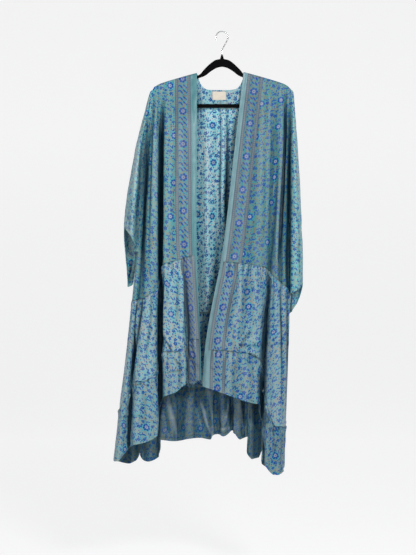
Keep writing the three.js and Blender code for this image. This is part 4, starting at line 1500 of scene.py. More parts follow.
@dataclass(frozen=True)
class PrintFinish:
    """The flowered satin of one panel: its colours, its share of the print and its sewing."""

    name: str
    origin: Point2
    ground: Four
    mottle: Four
    flower: Four = srgb(6, 66, 156)
    heart: Four = srgb(160, 160, 174)
    border: Border | None = None
    hem_stitch: bool = False
    shine: Shine = Shine(0.36, specular=0.2)
    crinkle: float = 1.6
    ink_gloss: float = 0.06
    stitch_height: float = 1.5
    stitch_cover: float = 0.6
    relief: float = 0.0009
    relief_strength: float = 0.7

    def build(self, groups: Groups) -> Material:
        """Makes the panel's material.

        Args:
            groups: The shared shader groups.

        Returns:
            The material.
        """
        material, g, shader = new_surface(self.name, self.shine)
        place = uv_place(g, "Print")
        shift = g.node("ShaderNodeMapping")
        shift.inputs["Location"].default_value = (*self.origin, 0.0)
        g.feed(shift.inputs["Vector"], place)
        flowers = g.group(
            groups.flower_print,
            Place=shift.outputs[0],
            Ground=self.ground,
            Mottle=self.mottle,
            Flower=self.flower,
            Heart=self.heart,
        )
        colour = flowers.outputs["Colour"]
        if self.border is not None:
            border = g.group(
                groups.border,
                Place=place,
                Phase=self.border.phase,
                Under=colour,
                Flower=self.flower,
                Ground=self.border.ground,
                Sky=self.border.sky,
                Lean=self.border.lean,
            )
            colour = border.outputs["Colour"]
        weave = g.group(groups.satin, Place=place, Crinkle=self.crinkle)
        height = weave.outputs["Height"]
        if self.hem_stitch:
            across, _, _ = g.split(place)
            hem, _, _ = g.split(uv_place(g, "Edges"))
            line = g.group(groups.stitches, Along=across, From_edge=hem)
            height = g.add(height, g.mul(line.outputs["Height"], self.stitch_height))
            thread = g.mul(line.outputs["Thread"], self.stitch_cover)
            colour = g.blend(thread, colour, srgb(120, 190, 200))
        g.feed(shader.inputs["Base Color"], shaded(g, toned(g, colour, weave.outputs["Tone"])))
        gloss = g.scale(flowers.outputs["Ink"], self.ink_gloss, self.shine.roughness)
        g.feed(shader.inputs["Roughness"], gloss)
        bump(g, shader, height, self.relief, self.relief_strength)
        return material


@dataclass(frozen=True)
class BandFinish:
    """The plain satin of the front bands, stitched along its seam."""

    name: str
    colour: Four
    deep: Four
    shine: Shine = Shine(0.36, sheen=0.1)

    def build(self, groups: Groups) -> Material:
        """Makes the band's material from the shared groups."""
        material, g, shader = new_surface(self.name, self.shine)
        place = uv_place(g, "Print")
        _, down, _ = g.split(place)
        _, side, _ = g.split(uv_place(g, "Edges"))
        weave = g.group(groups.satin, Place=place, Crinkle=1.4)
        streak = g.noise(place, 34.0, 3.0)
        colour = g.blend(streak, self.deep, self.colour)
        line = g.group(groups.stitches, Along=down, From_edge=side, Distance=0.0022)
        colour = g.blend(g.mul(line.outputs["Thread"], 0.7), colour, srgb(150, 206, 208))
        g.feed(shader.inputs["Base Color"], shaded(g, toned(g, colour, weave.outputs["Tone"])))
        bump(g, shader, g.add(weave.outputs["Height"], g.mul(line.outputs["Height"], 1.2)), 0.0006, 0.6)
        return material


@dataclass(frozen=True)
class VelvetFinish:
    """Black flock on the hanger, rubbed a little thinner in places."""

    name: str = "velvet"
    shine: Shine = Shine(0.96, sheen=0.03, sheen_roughness=0.5, specular=0.06)

    def build(self) -> Material:
        """Makes the velvet."""
        material, g, shader = new_surface(self.name, self.shine)
        place = object_place(g)
        rub = g.noise(place, 45.0, 3.0)
        flock = g.noise(place, 1900.0, 2.0)
        g.feed(shader.inputs["Base Color"], g.blend(rub, srgb(4, 4, 5), srgb(13, 13, 15)))
        g.feed(shader.inputs["Roughness"], g.scale(rub, 0.1, 0.86))
        bump(g, shader, g.add(flock, g.mul(rub, 0.5)), 0.0004, 0.8)
        return material


@dataclass(frozen=True)
class WireFinish:
    """Bright plated wire with fine drawing marks."""

    name: str = "hook wire"
    shine: Shine = Shine(0.2, metallic=1.0)

    def build(self) -> Material:
        """Makes the plated wire."""
        material, g, shader = new_surface(self.name, self.shine)
        place = object_place(g)
        marks = g.noise(place, 900.0, 2.0)
        haze = g.noise(place, 60.0, 3.0)
        g.feed(shader.inputs["Base Color"], g.blend(haze, srgb(196, 198, 200), srgb(214, 215, 216)))
        g.feed(shader.inputs["Roughness"], g.scale(haze, 0.16, 0.12))
        bump(g, shader, marks, 0.00004, 0.5)
        return material


@dataclass(frozen=True)
class TapeFinish:
    """Cream woven tape of the blank label, sewn down at its two ends."""

    name: str = "label tape"
    shine: Shine = Shine(0.7, sheen=0.1)

    def build(self, groups: Groups) -> Material:
        """Makes the tape from the shared groups."""
        material, g, shader = new_surface(self.name, self.shine)
        place = uv_place(g, "Print")
        _, down, _ = g.split(place)
        _, side, _ = g.split(uv_place(g, "Edges"))
        weave = g.group(groups.satin, Place=place, Crinkle=0.5)
        cloud = g.noise(place, 60.0, 3.0)
        colour = g.blend(cloud, srgb(206, 196, 180), srgb(226, 218, 204))
        line = g.group(groups.stitches, Along=down, From_edge=side, Distance=0.0018)
        colour = g.blend(g.mul(line.outputs["Thread"], 0.8), colour, srgb(150, 140, 124))
        g.feed(shader.inputs["Base Color"], colour)
        bump(g, shader, g.add(weave.outputs["Height"], line.outputs["Height"]), 0.0005, 0.6)
        return material


@dataclass(frozen=True)
class BackdropFinish:
    """Matt pale paper of the floor and the wall behind."""

    name: str = "pale paper"
    shine: Shine = Shine(0.95, specular=0.05)
    glow: float = 0.82

    def build(self) -> Material:
        """Makes the paper, lifted a little so that it stays even."""
        material, g, shader = new_surface(self.name, self.shine)
        grain = g.noise(object_place(g), 8.0, 3.0)
        g.feed(shader.inputs["Base Color"], g.blend(grain, srgb(150, 150, 150), srgb(154, 154, 154)))
        shader.inputs["Emission Color"].default_value = srgb(243, 243, 243)
        shader.inputs["Emission Strength"].default_value = self.glow
        return material


# ---- Creases, and the painted shade and highlight along them, seen from the front, in millimetres ----

TROUGH, RIDGE, TUCK = CreaseForm.TROUGH, CreaseForm.RIDGE, CreaseForm.TUCK


def crease_set(*marks: tuple) -> tuple[Crease, ...]:
    """Creases from rows of form, depth, width and line, and a painted shade where it isn't the usual one.
    """
    return tuple(Crease(*mark) for mark in marks)


FRONT_LEFT_CREASES = crease_set(
    (TROUGH, 10, 7.5, ((-186, -225), (-190, -330), (-192, -520), (-192, -880)), 1),
    (TROUGH, 6, 4, ((-212, -215), (-220, -330), (-226, -520), (-230, -700)), 0.35),
    # Depth 0: a line of painted shade down the left armhole groove.
    (TROUGH, 0, 7, ((-227, -260), (-235, -378), (-241, -560), (-245, -700), (-248, -860)), 1.15),
    (RIDGE, 3, 6, ((-203, -215), (-206, -380), (-207, -600), (-207, -790))),
    (TROUGH, 3, 4, ((-198, -190), (-202, -260), (-204, -340))),
    (TROUGH, 1.6, 7, ((-150, -180), (-146, -330), (-152, -520), (-149, -690))),
    (RIDGE, 1.4, 9, ((-128, -160), (-130, -300), (-126, -480))),
    (RIDGE, 1.8, 8, ((-206, -260), (-213, -420), (-218, -600))),
    (TROUGH, 1.6, 5, ((-226, -300), (-236, -460), (-243, -560))),
    (TUCK, 1.2, 6, ((-214, -640), (-228, -700), (-222, -760))),
)
FRONT_RIGHT_CREASES = crease_set(
    (TROUGH, 8, 4, ((200, -200), (197, -330), (190, -500), (178, -720)), 0.75),
    # Depth 0: a line of painted shade down the right armhole groove.
    (TROUGH, 0, 6.5, ((210, -250), (209, -372), (206, -560), (204, -860)), 1.25),
    (RIDGE, 3.5, 5, ((189, -230), (187, -360), (178, -520), (168, -720))),
    (TROUGH, 4, 5, ((176, -360), (170, -480), (158, -640), (150, -740))),
    (RIDGE, 3, 5, ((166, -420), (160, -560), (148, -720))),
    (TROUGH, 1.8, 8, ((98, -170), (94, -330), (86, -520), (70, -690))),
    (RIDGE, 1.5, 9, ((124, -190), (120, -360), (112, -560))),
    (RIDGE, 2, 6, ((152, -210), (148, -380), (142, -560), (136, -700))),
    (TROUGH, 1.6, 4, ((172, -230), (168, -400), (162, -600))),
    (TUCK, 1.1, 6, ((196, -420), (198, -560), (193, -680))),
)
# The back is seen from inside, so its shades count the other way: below 0 is painted shade, above 0 painted
# highlight.
BACK_CREASES = crease_set(
    # Depth 0: painted shade over the top of the back under the neckline, and a broad band of painted shade
    # down its inside.
    (TROUGH, 0, 36, ((-110, -186), (0, -200), (110, -186)), -0.42),
    (RIDGE, 0, 30, ((52, -260), (44, -420), (30, -600), (12, -780)), -0.3),
    (RIDGE, 4.5, 4, ((-6, -215), (-4, -330), (-8, -480), (-6, -640)), -0.55),
    (TROUGH, 3.5, 4.5, ((3, -230), (5, -350), (3, -520), (8, -700)), 0.22),
    (RIDGE, 4, 4.5, ((16, -225), (18, -360), (14, -520), (20, -720)), -0.5),
    (TROUGH, 3, 4, ((27, -250), (29, -380), (30, -560)), 0.12),
    (RIDGE, 3, 6, ((44, -240), (42, -400), (50, -600)), -0.45),
    # Depth 0: a narrower band of painted shade.
    (RIDGE, 0, 16, ((34, -270), (26, -420), (8, -600), (0, -820)), -0.3),
    (TROUGH, 2.4, 12, ((-42, -230), (-46, -400), (-44, -600))),
    (RIDGE, 2, 7, ((-88, -210), (-84, -400), (-90, -640))),
    (TROUGH, 2.2, 9, ((-150, -240), (-156, -420), (-148, -620))),
    (RIDGE, 2.2, 9, ((110, -230), (118, -420), (108, -640))),
    (TUCK, 1.4, 7, ((150, -500), (140, -640), (160, -760))),
)
TIER1_LEFT_CREASES = crease_set(
    (TROUGH, 8, 8, ((-192, -740), (-194, -860), (-195, -980), (-195, -1100)), 1.1),
    (TROUGH, 5, 4, ((-180, -742), (-186, -800), (-188, -900), (-186, -990)), 0.5),
    (TROUGH, 5, 5, ((-248, -800), (-254, -880), (-264, -950), (-276, -1020), (-286, -1110)), 0.9),
    (TROUGH, 4, 4, ((-127, -716), (-112, -800), (-107, -900), (-104, -990)), 0.4),
    (TUCK, 3.4, 4, ((-184, -946), (-164, -984), (-140, -1022)), 0.8),
    (TROUGH, 2.6, 4, ((-117, -784), (-117, -860), (-118, -935), (-103, -973))),
    (RIDGE, 2.2, 8, ((-160, -770), (-166, -860), (-158, -960))),
    (TROUGH, 2, 6, ((-142, -760), (-138, -850), (-146, -930))),
    (TUCK, 2.4, 4, ((-185, -955), (-176, -985), (-170, -1000))),
    (RIDGE, 2.4, 6, ((-228, -850), (-238, -960), (-252, -1080))),
    (TROUGH, 2.4, 5, ((-216, -840), (-222, -930), (-238, -1010))),
    (TROUGH, 2, 5, ((-262, -900), (-272, -990), (-286, -1080))),
)
TIER2_LEFT_CREASES = crease_set(
    (TROUGH, 7, 9, ((-195, -1000), (-194, -1080), (-193, -1200)), 1.1),
    (TROUGH, 7, 4.5, ((-281, -1090), (-288, -1190), (-292, -1270), (-293, -1340)), 1.1),
    (TUCK, 2.6, 4, ((-150, -1020), (-138, -1032), (-126, -1044))),
    (TUCK, 2.2, 5, ((-171, -1065), (-146, -1062), (-121, -1056))),
    (TROUGH, 3, 4, ((-102, -973), (-84, -1020), (-73, -1063))),
    (TROUGH, 3, 5, ((-117, -978), (-88, -1049), (-81, -1085))),
    (RIDGE, 2.2, 5, ((-96, -985), (-80, -1030), (-76, -1080))),
    (TUCK, 2, 5, ((-282, -1108), (-250, -1101), (-216, -1110))),
    (TUCK, 1.6, 6, ((-290, -1204), (-262, -1198), (-232, -1212))),
    (RIDGE, 2.2, 8, ((-262, -1130), (-268, -1200), (-276, -1270))),
    (TROUGH, 2.2, 7, ((-232, -1120), (-240, -1190), (-236, -1260))),
    (TUCK, 2, 5, ((-318, -1208), (-300, -1204), (-292, -1210))),
)
TIER1_RIGHT_CREASES = crease_set(
    (TROUGH, 6, 10, ((148, -765), (138, -880), (128, -1000), (124, -1080)), 0.35),
    (TROUGH, 6, 4, ((180, -810), (184, -930), (187, -1060), (186, -1200)), 0.5),
    (TROUGH, 4, 5, ((203, -790), (204, -930), (205, -1080), (200, -1230)), 0.8),
    (TUCK, 4.2, 3.6, ((46, -986), (63, -981), (90, -982), (124, -980)), 0.95),
    (TUCK, 3, 4, ((58, -980), (72, -954), (86, -935)), 0.6),
    (RIDGE, 2.4, 5, ((120, -756), (110, -775), (103, -796))),
    # A painted highlight on the ridge above the tucks.
    (RIDGE, 3, 6, ((70, -968), (92, -962), (116, -966)), -0.16),
    (RIDGE, 2.4, 9, ((60, -770), (52, -860), (40, -950))),
    (TROUGH, 2.2, 8, ((34, -760), (26, -850), (10, -950))),
    (TROUGH, 2.2, 7, ((92, -770), (88, -860), (96, -920))),
    (TUCK, 2, 5, ((136, -893), (130, -915), (124, -938))),
    (RIDGE, 2.2, 7, ((176, -820), (178, -930), (170, -1060))),
    (TROUGH, 2, 5, ((160, -830), (158, -950), (152, -1050))),
)
TIER2_RIGHT_CREASES = crease_set(
    # Depth 0: broad painted shade over the lowest tube on the right.
    (TROUGH, 0, 34, ((176, -1150), (176, -1260), (168, -1370)), 0.3),
    (TROUGH, 6, 11, ((124, -1040), (121, -1120), (122, -1240)), 0.8),
    (TUCK, 3.8, 4, ((60, -988), (86, -1009), (122, -1028)), 1),
    (RIDGE, 2, 9, ((30, -1010), (24, -1060), (28, -1130))),
    (TROUGH, 2, 8, ((8, -1010), (2, -1070), (10, -1120))),
    (RIDGE, 2, 8, ((74, -1040), (78, -1100), (72, -1150))),
    (TUCK, 3, 5, ((124, -1181), (141, -1195), (148, -1214), (130, -1238))),
    (TUCK, 2.6, 4, ((138, -1240), (160, -1243), (181, -1242))),
    (RIDGE, 2.4, 6, ((186, -1280), (172, -1305), (157, -1332))),
    (RIDGE, 2, 7, ((168, -1090), (172, -1150), (166, -1210))),
)
TIER1_BACK_CREASES = crease_set(
    (RIDGE, 2.6, 9, ((-60, -900), (-70, -980), (-62, -1080))),
    (TROUGH, 2.6, 9, ((40, -900), (30, -990), (42, -1090))),
    (TUCK, 1.8, 6, ((-120, -960), (-150, -990), (-176, -984))),
    (TUCK, 1.8, 6, ((98, -1010), (128, -1030), (150, -1022))),
)
TIER2_BACK_CREASES = crease_set(
    (TROUGH, 4, 8, ((-176, -1148), (-157, -1219), (-140, -1286))),
    (RIDGE, 2.6, 4.5, ((-190, -1160), (-172, -1230), (-158, -1288))),
    (TROUGH, 4.5, 6, ((-67, -1160), (-50, -1224), (-28, -1278))),
    (RIDGE, 3, 4, ((-84, -1150), (-66, -1214), (-46, -1274))),
    (TROUGH, 4, 5, ((25, -1150), (18, -1195), (9, -1240))),
    (RIDGE, 3, 3.5, ((42, -1140), (36, -1190), (28, -1240))),
    (TROUGH, 4, 7, ((54, -1160), (64, -1228), (72, -1270))),
    (TUCK, 2, 5, ((-30, -1245), (0, -1252), (40, -1246))),
)
SLEEVE_CREASES = crease_set(
    # Depth 0: painted highlight on the back layer of the left cuff, and painted shade below it.
    (RIDGE, 0, 9, ((-293, -596), (-290, -640), (-286, -700)), -0.4),
    (TROUGH, 0, 8, ((-288, -720), (-284, -780)), 0.5),
    # Depth 0: lines of painted shade down both armhole grooves.
    (TROUGH, 0, 6.5, ((-230, -260), (-238, -378), (-245, -560), (-252, -700)), 1.15),
    (TROUGH, 0, 5, ((215, -260), (214, -372), (213, -600), (212, -880)), 1.1),
    (TROUGH, 4, 6, ((-246, -300), (-256, -440), (-268, -600), (-272, -680)), 0.5),
    (RIDGE, 3, 6, ((-250, -280), (-270, -440), (-278, -540)), -0.3),
    (TUCK, 1.8, 6, ((-300, -560), (-286, -600), (-292, -640))),
    (RIDGE, 1.8, 6, ((-262, -300), (-276, -440), (-284, -560))),
    (TUCK, 1.8, 6, ((250, -640), (240, -680), (246, -740))),
    (RIDGE, 1.8, 6, ((234, -320), (240, -460), (244, -600))),
    (TUCK, 1.6, 5, ((228, -560), (240, -600), (252, -612))),
)


# ---- The robe ----


class Slot(Enum):
    """The record's material slots."""

    PRINT = "print"
    BAND = "plain_band"
    VELVET = "velvet"
    WIRE = "hook_wire"
    LABEL = "label"


def dress(piece: Object, slot: Slot, *nodes: str) -> None:
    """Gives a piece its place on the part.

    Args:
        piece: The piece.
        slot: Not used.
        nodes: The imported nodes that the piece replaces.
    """
    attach(piece, "root")
    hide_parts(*nodes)
    log.info("%s: %d faces, replaces %s", piece.name, len(piece.data.polygons), ", ".join(nodes))


def hang(sheet: ClothSheet, materials: Sequence[Material], slot: Slot, node: str) -> None:
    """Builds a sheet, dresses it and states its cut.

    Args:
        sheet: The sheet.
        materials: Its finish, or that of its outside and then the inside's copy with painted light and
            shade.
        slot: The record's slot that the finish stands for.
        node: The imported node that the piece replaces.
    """
    piece = sheet.build(materials)
    dress(piece, slot, node)
    log.info("%s: cut %.3f x %.3f m, %.3f m2", piece.name, *sheet.flat, sheet.flat_area)


PANEL_ANCHORS = {"front_left": Anchor.FIRST, "back": Anchor.MIDDLE, "front_right": Anchor.LAST}
MIDDLE_BACK = (LEFT_SIDE + RIGHT_SIDE) // 2


@dataclass
class UpperBody:
    """The two fronts and the back, from the shoulders to the first gathered seam."""

    spacing: float = 2.6
    row_runs: tuple[RowRun, ...] = ((0, 1, 5), (1, 2, 74), (2, 3, 30))
    level: float = -520.0
    seed_step: float = 11.0

    def keep(self, u: Array, v: Array) -> Array:
        """Leaves the armholes open."""
        in_left, in_right = ((u > start) & (u < end) for start, end in (LEFT_ARMHOLE, RIGHT_ARMHOLE))
        return (v > 2) | ~(in_left | in_right)

    def sheets(self) -> dict[str, ClothSheet]:
        """The three sheets by the node they replace."""
        left, right = LEFT_ARMHOLE, RIGHT_ARMHOLE
        panels = {
            "front_left": ((1, left[0], LEFT_SIDE), FRONT_LEFT_CREASES),
            "back": ((LEFT_SIDE, left[1], MIDDLE_BACK, right[0], RIGHT_SIDE), BACK_CREASES),
            "front_right": ((RIGHT_SIDE, right[1], LAST_FOLD - 1), FRONT_RIGHT_CREASES),
        }
        return {
            node: ClothSheet(
                f"{node}_cloth",
                upper_body,
                even_folds(marks, self.level, self.spacing),
                rows(*self.row_runs),
                PANEL_ANCHORS[node],
                creases,
                keep=self.keep,
                seed=self.seed_step * k,
                facing=BACK_FACING if node == "back" else 1.0,
            )
            for k, (node, (marks, creases)) in enumerate(panels.items())
        }


@dataclass
class Tier:
    """One gathered tier, cut as left front, back and right front."""

    name: str
    level: float
    row_count: int
    gathers: FineGathers
    creases: tuple[tuple[Crease, ...], ...]
    hem_turn: float
    laps: Point2
    spacing: float = 2.3
    band_width: float = 22.0
    seam_rows: RowRun = (0, 0.1, 9)
    wrinkle: float = 1.4
    calm: float = 10.0
    seed_step: float = 5.0

    def sheets(self) -> dict[str, ClothSheet]:
        """The three sheets by the node they replace."""
        left_lap, right_lap = self.laps
        panels = {
            "front_left": ((1 - left_lap, LEFT_SIDE), left_lap),
            "back": ((LEFT_SIDE, MIDDLE_BACK, RIGHT_SIDE), 0.0),
            "front_right": ((RIGHT_SIDE, LAST_FOLD - 1 + right_lap), right_lap),
        }
        return {
            f"{self.name}_{panel}": ClothSheet(
                f"{self.name}_{panel}_cloth",
                tier_surface(self.name),
                even_folds(marks, self.level, self.spacing),
                rows(self.seam_rows, (self.seam_rows[1], 1, self.row_count)),
                PANEL_ANCHORS[panel],
                self.creases[k],
                gathers=self.gathers,
                hem_turn=self.hem_turn,
                seed=self.gathers.seed + self.seed_step * k,
                wrinkle=self.wrinkle,
                calm=self.calm,
                facing=BACK_FACING if panel == "back" else 1.0,
                lap=self.band_width * lap,
            )
            for k, (panel, (marks, lap)) in enumerate(panels.items())
        }


@dataclass
class Bands:
    """The folded bands that finish the two front edges from neck to hem."""

    turn: float = 15.0
    hem_turn: float = 7.0
    across: int = 8
    seed: float = 31.0
    row_runs: tuple[RowRun, ...] = ((0, 1, 5), (1, 2, 60), (2, 3, 14), (3, 4, 34), (4, 5, 20))

    def sheets(self) -> dict[str, ClothSheet]:
        """The two sheets by the node they replace."""
        return {
            node: ClothSheet(
                f"{node}_cloth",
                band_surface,
                np.linspace(start, start + 1, self.across + 1),
                rows(*self.row_runs),
                anchor,
                hem_turn=self.hem_turn,
                side_turn=self.turn,
                wrinkle=0.7,
                calm=6.0,
                seed=self.seed + start,
            )
            for node, start, anchor in (
                ("band_left", 0, Anchor.LAST),
                ("band_right", LAST_FOLD - 1, Anchor.FIRST),
            )
        }


@dataclass
class Sleeves:
    """The two set-in sleeves, each one piece closed along the underarm."""

    across: int = 12
    down: int = 96
    hem_turn: float = 9.0
    seed: float = 51.0

    def sheets(self) -> dict[str, ClothSheet]:
        """The two sheets by the node they replace."""
        made = {}
        sleeves = {"sleeve_left": (LEFT_SLEEVE, False), "sleeve_right": (RIGHT_SLEEVE, True)}
        for node, (shape, flip) in sleeves.items():
            last = float(shape.last)

            def surface(u: Array, v: Array, shape: SleeveShape = shape, flip: bool = flip) -> Array:
                """Points of this sleeve, its run turned round on the right."""
                return shape.surface(shape.last - u if flip else u, v)

            made[node] = ClothSheet(
                f"{node}_cloth",
                surface,
                np.linspace(0, last, self.across * int(last) + 1),
                np.linspace(0, 1, self.down + 1),
                Anchor.MIDDLE,
                SLEEVE_CREASES,
                hem_turn=self.hem_turn,
                seed=self.seed + last * flip,
            )
        return made


@dataclass
class Label:
    """The blank woven label at the back of the neck."""

    left: float = -29.0
    right: float = 14.0
    top: float = -187.0
    bottom: float = -213.0
    off_cloth: float = 1.6

    def surface(self, across: Array, down: Array) -> Array:
        """Points of the label, just inside the back."""
        x = mix(self.right, self.left, across)
        folds = np.arange(LEFT_SIDE, RIGHT_SIDE + 1)
        u = np.interp(x, FOLD_X[folds, 0], folds)
        z = mix(self.top, self.bottom, down)
        px, py = body_section(u, z)
        y = mix(SHOULDER_ROUND, py, smooth((top_height(u) - SHOULDER_ROUND - z) / FOLD_RISE))
        return np.stack([px, y - self.off_cloth, z])

    def sheet(self) -> ClothSheet:
        """The label as a sheet."""
        return ClothSheet(
            "label_tape",
            self.surface,
            np.linspace(0, 1, 25),
            np.linspace(0, 1, 15),
            Anchor.FIRST,
            hem_turn=4.0,
            wrinkle=0.12,
            thickness=0.5,
            calm=4.0,
            seed=77.0,
        )


# ---- The hanger ----


HARD_ANGLE = math.radians(40)


def line_through(points: Sequence[Point2], per_step: int) -> list[Point2]:
    """Rounded line through points, with per_step pieces between each two."""
    table = np.array(points, float).T
    u = np.linspace(0, len(points) - 1, per_step * (len(points) - 1) + 1)
    return [tuple(p) for p in fold_curve(lambda i: table[:, i], len(points), u).T.tolist()]


def add_line(data: bpy.types.Curve, points: Sequence[Place3]) -> bpy.types.Spline:
    """Adds a line of straight steps through points, in millimetres, to a curve."""
    spline = data.splines.new("POLY")
    spline.points.add(len(points) - 1)
    for point, place in zip(spline.points, points):
        point.co = (*(part * MM for part in place), 1)
    return spline


def mesh_from_curve(curve: Object) -> Object:
    """Turns a curve object into a mesh with its place applied."""
    select_only(curve)
    bpy.ops.object.convert(target="MESH")
    bpy.ops.object.transform_apply(location=True, rotation=True, scale=True)
    return bpy.context.view_layer.objects.active


@dataclass
class Hanger:
    """Slim moulded hanger with an arch, sloping arms and a bar, flocked all over."""

    thickness: float = 6.0
    edge: float = 1.4
    boss_tip: float = 3.0
    boss_height: float = 12.0
    steps: int = 5
    outer: tuple[Point2, ...] = (
        (6, -85), (22, -89), (41, -103), (57, -119), (72, -135), (120, -147), (188, -167),
        (203, -176), (211, -189), (213, -203), (209, -221), (198, -235), (180, -239),
    )  # fmt: skip
    inner: tuple[Point2, ...] = (
        (0, -109.5), (16, -113), (35, -124), (52, -137), (75, -146), (120, -158), (182, -177),
        (194, -186), (198, -200), (194, -217), (184, -226), (170, -227),
    )  # fmt: skip

    def build(self) -> Object:
        """Makes the hanger's body from its outlines, with softly rounded edges."""
        right = line_through(self.outer, self.steps)
        boss = [(self.boss_tip, self.outer[0][1] + self.boss_height)]
        outline = boss + right
        outline += [(-x, z) for x, z in reversed(outline)]
        window = line_through(self.inner, self.steps)
        window += [(-x, z) for x, z in reversed(window[1:])]
        data = bpy.data.curves.new("hanger_flocked", "CURVE")
        data.dimensions = "2D"
        data.fill_mode = "BOTH"
        for loop in (outline, window):
            add_line(data, [(x, z, 0) for x, z in loop]).use_cyclic_u = True
        data.extrude = (self.thickness / 2 - self.edge) * MM
        data.bevel_depth = self.edge * MM
        data.bevel_resolution = 4
        data.offset = -self.edge * MM
        curve = add_object("hanger_flocked", data)
        curve.rotation_euler = (math.pi / 2, 0, 0)
        piece = mesh_from_curve(curve)
        bpy.ops.object.shade_smooth_by_angle(angle=HARD_ANGLE)
        return piece


@dataclass
class Hook:
    """Plated wire hook: a stem out of the boss, a bend aside and most of a turn over the rail."""

    wire: float = 3.6
    inner_radius: float = 17.0
    foot: float = -72.7
    collar_radius: float = 2.7
    collar_height: float = 4.0
    collar_edge: float = 0.7
    steps: int = 8

    def path(self) -> list[Point2]:
        """The wire's middle line, in millimetres."""
        radius = self.inner_radius + self.wire / 2
        turn = [math.radians(-25 + 230 * k / 12) for k in range(13)]
        stem = [(0.0, self.foot), (0.0, self.foot + 16), (6.0, self.foot + 27)]
        return stem + [(radius * math.cos(a), radius * math.sin(a) - self.inner_radius) for a in turn]

    def build(self) -> Object:
        """Makes the wire with its rounded end and the collar at its foot."""
        line = line_through(self.path(), self.steps)
        data = bpy.data.curves.new("hook_plated", "CURVE")
        data.dimensions = "3D"
        add_line(data, [(x, 0, z) for x, z in line])
        data.bevel_depth = self.wire / 2 * MM
        data.bevel_resolution = 6
        data.use_fill_caps = True
        piece = mesh_from_curve(add_object("hook_plated", data))
        end_x, end_z = line[-1]
        bpy.ops.mesh.primitive_uv_sphere_add(
            segments=20, ring_count=12, radius=self.wire / 2 * MM, location=(end_x * MM, 0, end_z * MM)
        )
        tip = bpy.context.view_layer.objects.active
        bpy.ops.mesh.primitive_cylinder_add(
            vertices=28,
            radius=self.collar_radius * MM,
            depth=self.collar_height * MM,
            location=(0, 0, (self.foot + self.collar_height / 2) * MM),
        )
        collar = bpy.context.view_layer.objects.active
        edge = collar.modifiers.new("edge", "BEVEL")
        edge.width = self.collar_edge * MM
        edge.segments = 3
        bpy.ops.object.modifier_apply(modifier=edge.name)
        for part in (piece, tip, collar):
            part.select_set(True)
        bpy.context.view_layer.objects.active = piece
        bpy.ops.object.join()
        bpy.ops.object.transform_apply(location=True, rotation=True, scale=True)
        bpy.ops.object.shade_smooth_by_angle(angle=HARD_ANGLE)
        return piece


# ---- Room, light and camera ----


@dataclass(frozen=True)
class Softbox:
    """A square studio light: where it stands, what it looks at, its side and its power."""

    name: str
    place: Place3
    target: Place3
    side: float
    power: float

    def build(self) -> None:
        """Hangs the light."""
        data = bpy.data.lights.new(self.name, "AREA")
        data.size = self.side
        data.energy = self.power
        light = add_object(self.name, data)
        light.location = self.place
        aim = Vector(self.target) - Vector(self.place)
        light.rotation_euler = aim.to_track_quat("-Z", "Y").to_euler()


@dataclass
class Studio:
    """Pale paper sweep, soft lights and the camera in front of the robe."""

    floor_z: float = -1.72
    wall_y: float = 5.8
    sweep: float = 2.0
    half_width: float = 9.0
    front_y: float = -9.0
    wall_top: float = 8.0
    camera_place: Place3 = (-0.044, -4.5, -0.773)
    lens: float = 92.7
    world_colour: Four = (0.93, 0.96, 1.0, 1.0)
    world_strength: float = 0.2
    steps: int = 12
    lights: tuple[Softbox, ...] = (
        Softbox("key", (0.85, -2.6, 0.6), (-0.04, 0.0, -0.72), 0.6, 52.0),
        Softbox("fill", (-1.9, -2.4, -0.2), (0.0, 0.0, -0.8), 1.0, 12.0),
        Softbox("top", (0.2, 0.6, 1.9), (0.0, 0.0, -0.6), 1.4, 10.0),
    )

    def build(self) -> None:
        """Sets the paper, the lights, the surrounding light and the camera."""
        self._hang_paper()
        for light in self.lights:
            light.build()
        self._set_world()
        self._place_camera()

    def _hang_paper(self) -> None:
        """Makes the floor and the wall as one sweep of paper."""
        bend = self.wall_y - self.sweep
        profile = [(self.front_y, self.floor_z), (bend, self.floor_z)]
        for k in range(1, self.steps + 1):
            a = math.radians(90 * k / self.steps)
            height = self.floor_z + self.sweep * (1 - math.cos(a))
            profile.append((bend + self.sweep * math.sin(a), height))
        profile.append((self.wall_y, self.wall_top))
        points = [(s * self.half_width, y, z) for y, z in profile for s in (-1, 1)]
        faces = [(2 * k, 2 * k + 1, 2 * k + 3, 2 * k + 2) for k in range(len(profile) - 1)]
        mesh = bpy.data.meshes.new("paper_sweep")
        mesh.from_pydata(points, [], faces)
        for face in mesh.polygons:
            face.use_smooth = True
        mesh.materials.append(BackdropFinish().build())
        add_object("paper_sweep", mesh)

    def _set_world(self) -> None:
        """Sets the light that comes from all round."""
        world = bpy.data.worlds.new("studio")
        world.use_nodes = True
        background = world.node_tree.nodes["Background"]
        background.inputs["Color"].default_value = self.world_colour
        background.inputs["Strength"].default_value = self.world_strength
        bpy.context.scene.world = world

    def _place_camera(self) -> None:
        """Sets the level camera in front of the robe, and plain colours."""
        data = bpy.data.cameras.new("camera")
        data.sensor_width = 36.0
        data.lens = self.lens
        camera = add_object("camera", data)
        camera.location = self.camera_place
        camera.rotation_euler = (math.pi / 2, 0, 0)
        scene = bpy.context.scene
        scene.camera = camera
        scene.view_settings.view_transform = "Standard"


# ---- Everything in order ----


